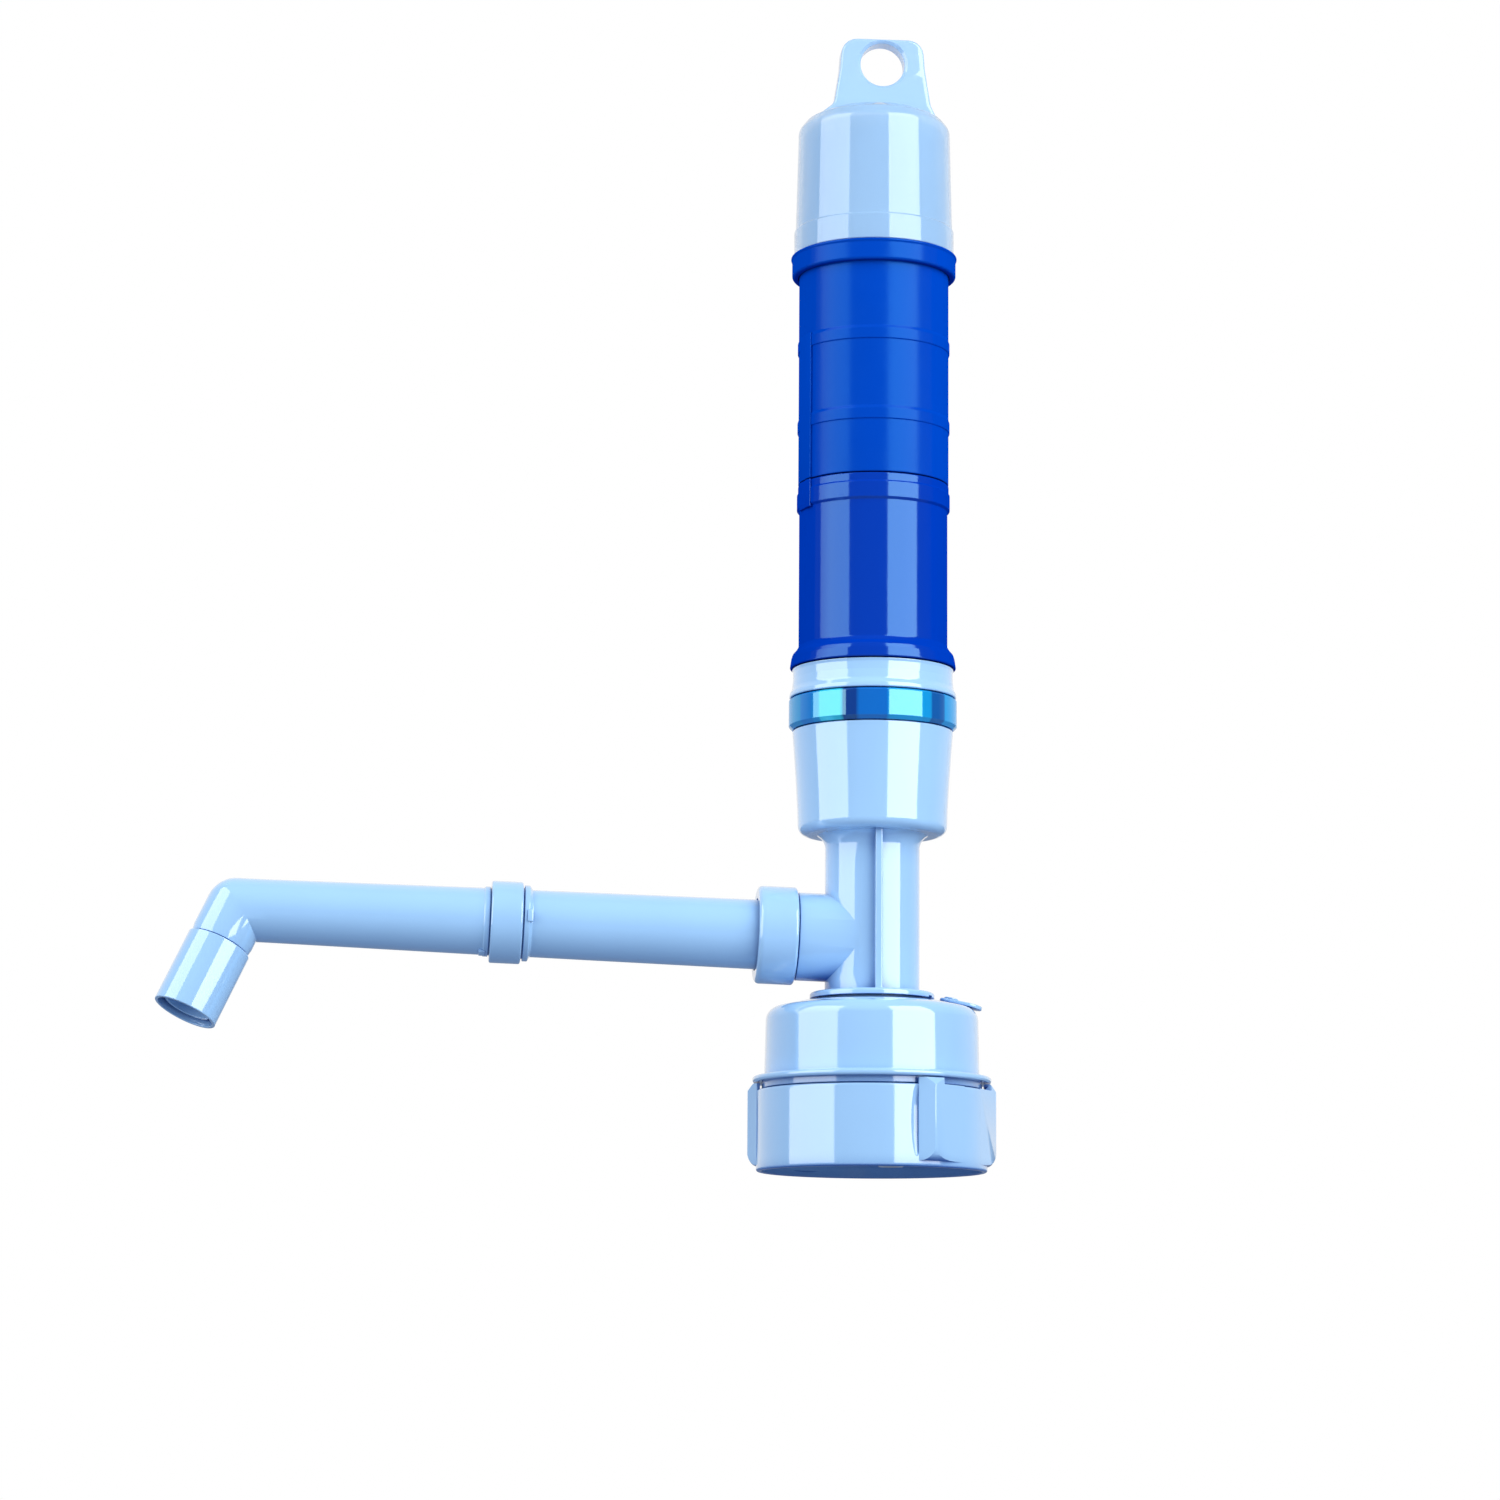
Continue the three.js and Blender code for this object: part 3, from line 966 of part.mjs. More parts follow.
// Union nut, its seal and the inner spout tube. These lie in the spout's frame.
add("union_nut", turned([
  [nutBoreRadius, nut.start], [nut.radius - nut.edge, nut.start], [nut.radius, nut.start + nut.edge],
  [nut.radius, nutEnd - nut.edge], [nut.radius - nut.edge, nutEnd], [innerTubeRadius + seatGap, nutEnd],
  [innerTubeRadius + seatGap, nutLipStart], [nutBoreRadius, nutLipStart],
], facets.medium), paleBlue, spout);
add("union_seal",
  pipe(innerTube.boreRadius, branch.threadRadius, unionSealStart, unionSealEnd), blackRubber, spout);
add("spout_tube_inner", turned([
  [innerTube.boreRadius, innerTubeStart], [branch.threadRadius, innerTubeStart],
  [branch.threadRadius, innerFlangeEnd],
  [innerTubeRadius, innerFlangeEnd], [innerTubeEndRadius, innerTube.end],
  [innerTubeEndRadius + innerTube.collarReach, innerTube.end + innerTube.collarEdge],
  [innerTubeEndRadius + innerTube.collarReach, innerCollarEnd], [innerTube.spigotRadius, innerCollarEnd],
  [innerTube.spigotRadius, innerSpigotEnd], [innerTube.boreRadius, innerSpigotEnd],
], facets.medium), paleBlue, spout);

// Coupling ring between the two tubes.
add("coupling_ring", turned([
  [coupling.bore, couplingStart], [coupling.radius - coupling.edge, couplingStart],
  [coupling.radius, couplingStart + coupling.edge], [coupling.radius, couplingEnd - coupling.edge],
  [coupling.radius - coupling.edge, couplingEnd], [outerTubeRadius + seatGap, couplingEnd],
  [outerTubeRadius + seatGap, couplingLipStart], [coupling.bore, couplingLipStart],
], facets.medium), paleBlue, spout);

// Outer spout tube with its elbow: two hollow runs that meet at a rounded corner.
function outerSpout() {
  const run = turned([
    [0, outerTubeStart], [outerTube.headRadius, outerTubeStart], [outerTube.headRadius, outerHeadEnd],
    [outerTubeRadius, outerHeadEnd], [outerTubeRadius, outerLipStart],
    [outerTubeRadius + outerTube.lipReach, outerLipStart],
    [outerTubeRadius + outerTube.lipReach, outerLipEnd - outerTube.lipReach], [outerTubeRadius, outerLipEnd],
    [outerTubeEndRadius, outerTube.corner], [0, outerTube.corner],
  ], facets.medium);
  const knuckle = new THREE.SphereGeometry(outerTubeEndRadius, facets.medium, facets.small)
    .rotateX(Math.PI / 2).translate(0, 0, outerTube.corner);
  const drop = turned([
    [0, 0], [outerTube.elbowRadius, 0], [outerTube.elbowRadius, outerTube.elbowEnd],
    [outerTube.spigotRadius, outerTube.elbowEnd],
    [outerTube.spigotRadius, outerTube.elbowEnd + outerTube.spigotLength],
    [0, outerTube.elbowEnd + outerTube.spigotLength],
  ], facets.medium).applyMatrix4(outletMatrix);
  const runBore = disc(outerTube.boreRadius, outerTubeStart - overrun, outerTube.corner, facets.medium);
  const cornerBore = new THREE.SphereGeometry(outerTube.elbowBore, facets.medium, facets.small)
    .rotateX(Math.PI / 2).translate(0, 0, outerTube.corner);
  const dropBore = disc(outerTube.elbowBore, 0, outerTube.elbowEnd + outerTube.spigotLength + overrun)
    .applyMatrix4(outletMatrix);
  return cut(join(run, knuckle, drop), runBore, cornerBore, dropBore);
}
add("spout_tube_outer", outerSpout(), paleBlue, spout);

// Nozzle: the loose outer sleeve and the liner inside it, in the outlet's frame.
const sleeveStart = outerTube.elbowEnd + seatGap;
const nozzleBore = nozzle.radius - nozzle.wall;
add("nozzle_sleeve", turned([
  [outerTube.spigotRadius + seatGap, sleeveStart], [nozzle.radius, sleeveStart],
  [nozzle.radius, nozzle.end], [nozzleBore, nozzle.end], [nozzleBore, sleeveStart + nozzle.wall],
], facets.medium), paleBlue, outlet);
const linerRadius = outerTube.elbowBore - seatGap;
add("nozzle_liner", pipe(linerRadius - nozzle.linerWall, linerRadius, nozzle.linerStart, nozzle.linerEnd),
  paleBlue, outlet);

export default model;
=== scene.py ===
import json
from math import acos, cos, degrees, pi, radians, sin, tan
from types import SimpleNamespace as Dims

import bmesh
import bpy
from mathutils import Matrix, Vector


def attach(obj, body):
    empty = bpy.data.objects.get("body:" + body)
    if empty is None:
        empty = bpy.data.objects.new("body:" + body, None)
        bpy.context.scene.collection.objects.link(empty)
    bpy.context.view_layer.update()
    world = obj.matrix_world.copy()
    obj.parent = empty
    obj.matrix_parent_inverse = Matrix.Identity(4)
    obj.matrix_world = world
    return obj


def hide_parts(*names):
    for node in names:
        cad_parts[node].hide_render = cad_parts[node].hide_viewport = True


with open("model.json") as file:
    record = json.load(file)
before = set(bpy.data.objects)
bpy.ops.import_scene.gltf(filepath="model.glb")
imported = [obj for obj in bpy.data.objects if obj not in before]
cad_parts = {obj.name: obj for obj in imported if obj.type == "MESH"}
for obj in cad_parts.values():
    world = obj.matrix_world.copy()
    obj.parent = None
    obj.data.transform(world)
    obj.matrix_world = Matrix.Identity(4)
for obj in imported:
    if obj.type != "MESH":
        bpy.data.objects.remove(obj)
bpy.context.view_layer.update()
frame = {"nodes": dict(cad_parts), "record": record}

# Sizes are in millimetres and angles in degrees, as in the part's source. Meshes are made in
# millimetres and scaled to metres as they are written. +Z is up, the spout points along -X and
# the front of the pump faces -Y.
MM = 0.001

# Facets round a turned form
FINE = 128
MEDIUM = 96
COARSE = 48

# Steps of a rounded corner, of a larger curve and of a half turn
ARC_STEPS = 5
CURVE_STEPS = 12
HALF_TURN_STEPS = 24

# An edge is shaded as sharp, or bevelled, from these angles on.
SHARP_DEG = 32
BEVEL_DEG = 40
BEVEL_STEPS = 3

# Corner radii that many of the mouldings share
HAIR_ROUND = 0.1
FINE_ROUND = 0.15
SMALL_ROUND = 0.2
SOFT_ROUND = 0.3
FULL_ROUND = 0.5

# How far a form reaches past the one that it cuts or joins, and the gap round a seat
PAST = 1
SEAT_GAP = 0.3

ring = Dims(
    bore=29.4, radius=30.8, height=21.6, lip_radius=27.5, lip_z=19.8, low_edge=0.9, high_edge=0.6,
    thread_start=3, thread_pitch=4.5, thread_turns=1.6, thread_depth=1.4, thread_width=1.6,
    thread_flank=0.8, fin_rise=2.4, fin_low=1.6, fin_high=1.7, fin_taper=4.4, fin_foot=3.6,
    fin_spacing_deg=60, fin_first_deg=-66.4, crest_round=0.5, tab_share=0.3, scoop_half=1.6,
    scoop_tall=9.5, scoop_deep=1.05, scoop_z=12.2, scoop_tuck_share=0.35, thread_root=0.5, fin_root=0.6,
    fin_clear=0.05, fin_shoulder=0.3, fin_shoulder_round=1.5, fin_top_reach=0.9,
)

dome = Dims(
    neck_bore=24.6, neck_radius=27, flange_radius=28.8, flange_z=17.6, flange_top_z=19.5, lip_z=23.6,
    lip_top_z=25.2, lip_radius=31.9, lip_round=0.7, radius=28.7, wall=2.2, draft=0.3, top_z=45.8,
    wall_top_z=40.2, shoulder_radius=3.8, shoulder_deg=75, top_flat=3.4, top_thick=2.4, hub_wall=3,
    hole_radius=13.5, foot_fillet=0.5, step_z=21.9, step_radius=29.4,
)

vent = Dims(
    pin_offset=21.1, hole_offset=25.7, hub_radius=3, tip_offset=29.7, tip_width=8, low_z=45.27,
    high_z=46.27, boss_radius=2.8, hole_boss_radius=1.5, boss_z=38.1, edge=0.25, pin_radius=1.2,
    head_radius=1.9, head_z=46.42, head_top_z=46.82, head_edge=0.25, slope_deg=12.53,
    pin_z=36.1,
)

stem = Dims(
    radius=12.7, spigot_radius=13.2, bore=8.5, spigot_z=34, foot_z=46.1, foot_top_z=47.8,
    foot_radius=16.7, foot_edge=0.75, fillet_z=86.5, fillet_reach=4.3, fillet_deg=120, rib_thick=1.9,
    rib_radius=16, rib_edge=0.35, notch_deg=28, notch_wide=2.2, notch_high=0.6, notch_deep=3,
    notch_low=0.5, rib_root=2, rib_sink=0.6, rib_top_share=0.7, foot_round=0.25, fillet_steps=10,
)

housing = Dims(
    z=90.3, top_z=118.5, low_radius=20.1, top_radius=21.7, corner=2.6, mouth_radius=19.9,
    mouth_z=112, cavity_radius=18.2, floor_z=96, taper_bow=1.3, taper_steps=8,
    top_edge=0.35,
)

branch = Dims(
    z=62.1, tilt_deg=1.8, radius=11.8, body_end=20.6, thread_radius=10.9, end=27.2, bore=7.6, edge=0.3,
    start=3,
)

glow = Dims(low_z=118.8, high_z=127.1, bore=19.9, radius=22.7, low_chamfer=1, high_chamfer=0.45)

collar = Dims(
    neck_bore=18, neck_radius=19.6, neck_z=112.6, z=127.4, top_z=135.3, shelf_z=130.3,
    pocket_radius=19.4, radius=21.6, flare_radius=22.65, flare_rise=2.5, lip=0.2, round=0.4,
    window_wide=8, window_low=120, window_high=125.9, window_count=3, window_first_deg=72,
    key_wide=2.2, key_radius=20.8, key_deg=-113, key_root=0.8, flare_draft=0.15, flare_foot=1.2,
    flare_foot_round=0.8, waist_reach=0.25, waist_round=2.2, flare_top_round=2, lip_rise=0.8, lip_round=0.4,
)

tube = Dims(
    foot_z=135.6, floor_z=130.6, foot_radius=19.1, radius=20.15, band_z=178.9, band_top_z=183.4,
    shoulder_z=185.9, top_z=200.5, neck_radius=18.9, bore=17.4, band_reach=0.65, step_reach=0.35,
    foot_reach=2.35, foot_rise=5.9, edge=0.35, floor=1.6, wire_hole=2, flare_round=1.2, band_foot=0.2,
    band_slope=0.4, band_round=0.25, catch_drop=0.6,
    flare_shares=[[1, 0], [0.83, 0.44], [0.68, 0.63], [0.28, 0.81], [0, 1]],
)

sleeve = Dims(
    z=186.2, top_z=249, radius=20.45, bore=19.2, rib_shares=[0.231, 0.583], rib_reach=0.3,
    rib_wide=3.7, rib_edge=0.8, head_bore=18.5, head_depth=5, rail_start_deg=-172, rail_sweep_deg=21,
    rail_reach=0.3, rail_top_z=226.5, ridge_rise=0.3, ridge_share=0.66, rail_steps=24, rail_edge=0.3,
    rail_root=0.7, rail_bevel_steps=2, rail_bevel_deg=60, rib_slope=0.1, rib_round=0.8, stop_inner=0.6,
    stop_outer=0.3,
)

trim = Dims(
    low_z=244.3, flange_z=249.3, top_z=250, bore=20.75, radius=22.4, lip=0.3, chamfer=0.7,
    inner_radius=20, round=0.25, lip_rise=0.9, lip_foot=0.45, rise_round=0.5,
)

tower = Dims(
    z=249.3, low_z=244.3, bore=17.4, spigot_radius=18.2, base_radius=19.7, base_top_z=257.7,
    shoulder_radius=18.7, floor_z=263.5, roof_z=261.1, mid_radius=17.8, mid_z=271.4, top_radius=17.1,
    top_z=283.1, cavity_radius=13.2, plate_z=281.2, wire_hole=2, edge=0.5, button_hole=9.3,
)

button = Dims(
    radius=9, top_z=285.6, flange_radius=10.4, flange_z=279.4, flange_top_z=280.9, roof_z=283.6,
    wall=1.5, stem_radius=1.8, stem_z=270.6, edge=0.7,
)

cap = Dims(
    z=250.3, bore=20.1, radius=21.9, skirt_z=257.5, step=0.4, taper=0.7, brim_z=285.8,
    cone_radius=14.3, top_z=290.9, roof_z=287.4, wall=1.8, shoulder_round=2.6,
    inner_cone_radius=11.7, shoulder_out=4.6, shoulder_drop=2.6, roof_drop=0.4, roof_round=1,
    crown_drop=0.4, crown_round=4, crown_low_round=2.5,
)

loop = Dims(
    offset=2, root_z=288.2, foot_left=17.8, foot_left_z=290, foot_right=15, foot_right_z=290.2,
    base_half=13.4, base_z=293.4, waist_half=11.8, waist_z=303.3, waist_round=6, top_half=11.1,
    top_z=312, corner=6, thick=6.5, hole_radius=6.1, hole_z=304.8, hole_bevel=0.8, hole_round=0.4,
    bevel=2, bevel_steps=5, bevel_deg=50, flare=3.2,
)

nut = Dims(start=20.9, end=31.4, radius=13.1, bore=11.5, lip_start=29.6, edge=1.3, lip_bore=9.65)

inner = Dims(
    bore=7.6, start=28.5, flange_end=29.3, flange_radius=10.9, start_radius=9.35, end_radius=8.95,
    end=91.5, collar_end=93.6, collar_radius=10.15, collar_edge=0.7, spigot_radius=9.5,
    spigot_end=97.6, nub_wide=1.3, nub_tall=3.3, nub_rise=0.45, nub_deg=-84,
    nub_sink=0.2, collar_round=0.4,
)

coupling = Dims(
    start=94, end=102.4, radius=10.95, bore=9.85, lip_start=101.1, lip_bore=9.25, edge=0.55,
)

outer = Dims(
    bore=7, start=97.9, head_radius=9.5, head_end=100.8, lip_start=102.7, lip_end=104.3, lip_reach=0.4,
    radius=8.95, end_radius=8.4, corner=169.5, turn_deg=67.7, swing_deg=11.4, elbow_radius=8.05,
    elbow_bore=6.7, elbow_end=10.45, spigot_radius=7.5, spigot_length=11, tooth_wide=1.7,
    tooth_tall=2.6, tooth_deg=200, tooth_rise=0.7, tooth_sink=0.8, lip_slope=0.3, lip_round=0.25,
    elbow_steps=14,
)

nozzle = Dims(
    start=10.75, end=31.3, radius=8.7, wall=0.9, edge=0.2, liner_start=13,
    liner_end=29.9, liner_radius=6.4, liner_wall=0.8,
)

gasket = Dims(low_z=15.3, high_z=17.3, bore=24.9, radius=28.5, edge=0.4)
NUB_BEVEL_STEPS = 2


# Mesh tools. A profile is a list of (radius, height) or (radius, height, corner radius).
# A rounded corner takes at most CORNER_SHARE of each side. A guard point beyond each of its ends
# keeps the shading of the flat sides flat.
CORNER_SHARE = 0.46
GUARD_REACH_SHARE = 0.5
GUARD_SIDE_SHARE = 0.03
STRAIGHT = 1e-6
ON_AXIS = 1e-9
MERGE_METRES = 1e-6


def polar(radius, angle, x=0, y=0):
    """The point at a radius and an angle in radians from a centre."""
    return (x + radius * cos(angle), y + radius * sin(angle))


def fillet(profile, closed):
    count = len(profile)
    made = []
    for i, point in enumerate(profile):
        here = Vector(point[:2])
        corner = point[2] if len(point) > 2 else 0
        ends = not closed and i in (0, count - 1)
        if corner == 0 or ends:
            made.append(tuple(here))
            continue
        before = Vector(profile[i - 1][:2]) - here
        after = Vector(profile[(i + 1) % count][:2]) - here
        toward, away = before.normalized(), after.normalized()
        half = toward.angle(away) / 2
        reach = min(corner / tan(half), before.length * CORNER_SHARE, after.length * CORNER_SHARE)
        radius = reach * tan(half)
        centre = here + (toward + away).normalized() * (radius / sin(half))
        first, last = here + toward * reach, here + away * reach
        start, end = first - centre, last - centre
        turn = start.angle(end)
        guard = reach * GUARD_REACH_SHARE
        made.append(tuple(first + toward * min(guard, before.length * GUARD_SIDE_SHARE)))
        for step in range(ARC_STEPS + 1):
            share = step / ARC_STEPS
            if turn < STRAIGHT:
                made.append(tuple(first.lerp(last, share)))
                continue
            mix = start * sin((1 - share) * turn) + end * sin(share * turn)
            made.append(tuple(centre + mix / sin(turn)))
        made.append(tuple(last + away * min(guard, after.length * GUARD_SIDE_SHARE)))
    return made


def stairs(start, *moves):
    """A profile from a start point that moves out or in, then up or down, by turns. A move is the new
    radius or height, or a pair of it and the rounding of the corner that it ends in."""
    points, place = [start], list(start[:2])
    for i, move in enumerate(moves):
        place[i % 2], rounded = move if isinstance(move, tuple) else (move, 0)
        points.append((*place, rounded))
    return points


def linked(name, data):
    piece = bpy.data.objects.new(name, data)
    bpy.context.scene.collection.objects.link(piece)
    return piece


def mesh_object(name, points, faces, matrix=None):
    mesh = bpy.data.meshes.new(name)
    mesh.from_pydata([tuple(Vector(p) * MM) for p in points], [], faces)
    mesh.validate()
    piece = linked(name, mesh)
    if matrix is not None:
        mesh.transform(scaled_place(matrix))
    bpy.context.view_layer.update()
    return piece


def scaled_place(matrix):
    place = matrix.copy()
    place.translation = matrix.translation * MM
    return place


def lathe(name, profile, segments=FINE, matrix=None):
    """A closed turned solid about +Z. A profile whose ends lie on the axis closes there."""
    on_axis = profile[0][0] == 0 and profile[-1][0] == 0
    rows = fillet(profile, not on_axis)
    points, starts = [], []
    for radius, height in rows:
        starts.append(len(points))
        if radius < ON_AXIS:
            points.append((0, 0, height))
            continue
        points += [(*polar(radius, 2 * pi * k / segments), height) for k in range(segments)]
    faces = []
    for low in range(len(rows) - 1 if on_axis else len(rows)):
        high = (low + 1) % len(rows)
        low_point, high_point = rows[low][0] < ON_AXIS, rows[high][0] < ON_AXIS
        if low_point and high_point:
            continue
        for k in range(segments):
            k_next = (k + 1) % segments
            below = (starts[low],) if low_point else (starts[low] + k, starts[low] + k_next)
            above = (starts[high],) if high_point else (starts[high] + k_next, starts[high] + k)
            faces.append(below + above)
    piece = mesh_object(name, points, faces, matrix)
    return outward(piece)


def outward(piece, merge=0):
    """Turns the faces outward, once points within a distance in metres of each other are merged."""
    work = bmesh.new()
    work.from_mesh(piece.data)
    if merge:
        bmesh.ops.remove_doubles(work, verts=work.verts, dist=merge)
    bmesh.ops.recalc_face_normals(work, faces=work.faces)
    work.to_mesh(piece.data)
    work.free()
    return piece


def prism(name, outline, low, high, matrix=None):
    """A flat outline of (x, y) points drawn up from one height to another."""
    count = len(outline)
    points = [(x, y, low) for x, y in outline] + [(x, y, high) for x, y in outline]
    faces = [tuple(range(count))[::-1], tuple(range(count, 2 * count))]
    faces += [(i, (i + 1) % count, (i + 1) % count + count, i + count) for i in range(count)]
    piece = mesh_object(name, points, faces, matrix)
    return outward(piece)


def pipe(name, bore, radius, low, high, rounds, matrix=None):
    """A plain pipe, and the roundings of its outer low, outer high and inner high corners."""
    moves = zip((radius, high, bore), rounds)
    return lathe(name, stairs((bore, low), *moves), FINE, matrix)


def lipped_ring(name, sizes, lip_round, matrix):
    """A ring round a pipe, with a lip that reaches in at its far end."""
    return lathe(name, stairs(
        (sizes.bore, sizes.start), (sizes.radius, sizes.edge), (sizes.end, sizes.edge),
        (sizes.lip_bore, lip_round), sizes.lip_start, sizes.bore), FINE, matrix)


def radial_block(name, near, far, half, low, high, turn_deg, matrix=Matrix()):
    """A bar that runs straight out from the axis, from one radius to another."""
    outline = [(near, -half), (far, -half), (far, half), (near, half)]
    return prism(name, outline, low, high, matrix @ along_z(turn_deg))


def disc(name, radius, low, high, segments=FINE, matrix=None):
    return lathe(name, stairs((0, low), radius, high, 0), segments, matrix)


def bevelled(piece, width, segments=BEVEL_STEPS, angle_deg=BEVEL_DEG):
    modifier = piece.modifiers.new("edge", "BEVEL")
    modifier.width = width * MM
    modifier.segments = segments
    modifier.limit_method = "ANGLE"
    modifier.angle_limit = radians(angle_deg)
    modifier.use_clamp_overlap = True
    return applied(piece)


def applied(piece):
    bpy.context.view_layer.update()
    graph = bpy.context.evaluated_depsgraph_get()
    mesh = bpy.data.meshes.new_from_object(piece.evaluated_get(graph))
    piece.modifiers.clear()
    old = piece.data
    piece.data = mesh
    bpy.data.meshes.remove(old)
    return piece


def combined(piece, others, operation):
    for other in others:
        modifier = piece.modifiers.new("shape", "BOOLEAN")
        modifier.operation = operation
        modifier.solver = "EXACT"
        modifier.object = other
    applied(piece)
    for other in others:
        bpy.data.objects.remove(other)
    return piece


def joined(piece, *others):
    return combined(piece, others, "UNION")


def carved(piece, *others):
    return combined(piece, others, "DIFFERENCE")


def along_z(turn_deg):
    return Matrix.Rotation(radians(turn_deg), 4, "Z")


def along_y(turn_deg):
    return Matrix.Rotation(radians(turn_deg), 4, "Y")


def at(x, y, z):
    return Matrix.Translation((x, y, z))


# Materials
# The shares of a noise texture that a drift runs over, and its detail for colour and for gloss
NOISE_SHARES = (0.3, 0.7)
TONE_SHARES = (0.25, 0.75)
TONE_DETAIL = 4
GLOSS_DETAIL = 3

# Each kind of finish: its noise scales, its drift of gloss as a share, and its grain's depth in metres
PLASTIC = Dims(tone_scale=45, gloss_scale=160, gloss_share=0.15, grain_scale=1400, grain_detail=2,
               grain_depth=0.0002)
METAL = Dims(tone_scale=120, vary=0.05, gloss_scale=900, gloss_share=0.3, grain_scale=900, grain_detail=3,
             grain=0.1, grain_depth=0.0001)
CLEAR = Dims(tone_scale=60, vary=0.02, gloss_scale=200, gloss_share=0.2, grain_scale=900, grain_detail=2,
             grain=0.015, grain_depth=0.0002, coat_roughness=0.03, coat_ior=1.7)

PALE_RGB = (165, 209, 252)
# Painted shade: the colour that the pale plastic darkens toward in gaps and creases
PALE_PAINTED_SHADE_RGB = (45, 100, 185)
MILKY_RGB = (150, 203, 250)
FROSTED_RGB = (174, 214, 252)
COBALT_RGB = (0, 55, 174)
# Painted shade: the colour that both cobalt finishes darken toward in gaps and creases
COBALT_PAINTED_SHADE_RGB = (0, 22, 110)
COBALT_SHEEN = (0.33, 0.76, 1)
SATIN_RGB = (0, 65, 182)
SATIN_SHEEN = (0.1, 0.55, 1)

# Painted shade: where other faces lie within GAP_REACH metres, a colour is darkened toward its painted
# shade colour, fully where no more than the first share is open.
GAP_REACH = 0.008
GAP_SHARES = (0.2, 0.7)
GAP_SAMPLES = 8

# Over these shares of its turn away from the eye, a cobalt wall's mirroring fades out.
EDGE_SHARES = (0.2, 0.4)
EDGE_LEVELS = (0.5, 0.0)

# The cap's thin wall ends at the first height, and its solid loop begins at the second, in metres.
CAP_HEIGHTS = (0.2885, 0.2945)
CAP_ALPHAS = (0.66, 0.8)

# Painted facets of the clear ring: where each begins, from the front toward the right, and its colour. The
# bands paint in the light, shade and refraction that the clear ring shows: the pale cyan band from -46
# degrees is a painted highlight, and the dark band from -28 degrees paints the collar's key seen through
# the ring.
GUIDE_PAINTED_FACETS = [
    (-80, (0, 148, 222)), (-65, (0, 128, 224)), (-52, (0, 150, 232)), (-46, (40, 215, 250)),
    (-28, (0, 58, 150)), (-17, (0, 112, 214)), (4, (0, 170, 245)), (30, (0, 160, 236)),
    (37, (0, 92, 178)), (51, (0, 160, 238)), (82, (0, 120, 216)), (160, (0, 92, 178)),
    (174, (0, 150, 232)),
]
GUIDE_BLUR_DEG = 0.6
GUIDE_FRONT_SHARE = 0.25
GUIDE_ROUGHNESSES = (0.03, 0.06)
GUIDE_IOR = 2.4
GUIDE_SHEEN = (0.5, 1, 1)
GUIDE_TRANSMISSION = 0.12


# The Mix node's sockets for colours, by number, as its float sockets have the same names
MIX_FIRST_COLOUR = 6
MIX_SECOND_COLOUR = 7
MIX_COLOUR_OUT = 2


def new_material(name):
    material = bpy.data.materials.new(name)
    material.use_nodes = True
    return material, material.node_tree, material.node_tree.nodes["Principled BSDF"]


def fill(tree, node, settings):
    """Sets a node's inputs to plain values, or links them to the sockets given."""
    for key, value in settings.items():
        if isinstance(value, bpy.types.NodeSocket):
            tree.links.new(value, node.inputs[key])
        else:
            node.inputs[key].default_value = value


def add(tree, kind, settings=None, output=0, **traits):
    """Adds a node and gives back one of its outputs."""
    node = tree.nodes.new(f"ShaderNode{kind}")
    for name, value in traits.items():
        setattr(node, name, value)
    fill(tree, node, settings or {})
    return node.outputs[output]


def noise(tree, scale, detail, stretch=(1, 1, 1)):
    place = add(tree, "TexCoord", output="Object")
    place = add(tree, "Mapping", {"Vector": place, "Scale": stretch})
    return add(tree, "TexNoise", {"Vector": place, "Scale": scale, "Detail": detail}, "Fac")


def mapped(tree, source, source_range, result_range):
    """Turns one range of a value into another."""
    limits = zip(("From Min", "From Max", "To Min", "To Max"), (*source_range, *result_range))
    return add(tree, "MapRange", {"Value": source, **dict(limits)}, "Result")


def along_axis(tree, space, axis):
    return add(tree, "SeparateXYZ", {"Vector": add(tree, "TexCoord", output=space)}, axis)


def ray_is(tree, kind):
    return add(tree, "LightPath", output=f"Is {kind} Ray")


def linear(rgb):
    """Turns an sRGB colour of 0 to 255 into the linear colour that a socket takes."""
    def one(value):
        share = value / 255
        return share / 12.92 if share <= 0.04045 else ((share + 0.055) / 1.055) ** 2.4
    return (*(one(value) for value in rgb), 1)


def toned(tree, shader, rgb, vary, scale):
    """A base colour that drifts a little over the surface, as moulded plastic does."""
    ramp = tree.nodes.new("ShaderNodeValToRGB")
    for element, position, level in zip(ramp.color_ramp.elements, TONE_SHARES, (1 - vary, 1 + vary)):
        element.position = position
        element.color = (*(min(1, value * level) for value in linear(rgb)[:3]), 1)
    fill(tree, ramp, {"Fac": noise(tree, scale, TONE_DETAIL)})
    fill(tree, shader, {"Base Color": ramp.outputs["Color"]})


def finished(name, kind, rgb, vary, roughness, grain, stretch=(1, 1, 1)):
    """A new material with a drift of colour, a drift of gloss and a fine grain."""
    material, tree, shader = new_material(name)
    toned(tree, shader, rgb, vary, kind.tone_scale)
    gloss = noise(tree, kind.gloss_scale, GLOSS_DETAIL, stretch)
    limits = (roughness * (1 - kind.gloss_share), roughness * (1 + kind.gloss_share))
    grains = noise(tree, kind.grain_scale, kind.grain_detail, stretch)
    bump = add(tree, "Bump", {"Height": grains, "Strength": grain, "Distance": kind.grain_depth})
    fill(tree, shader, {"Roughness": mapped(tree, gloss, NOISE_SHARES, limits), "Normal": bump})
    return material, tree, shader


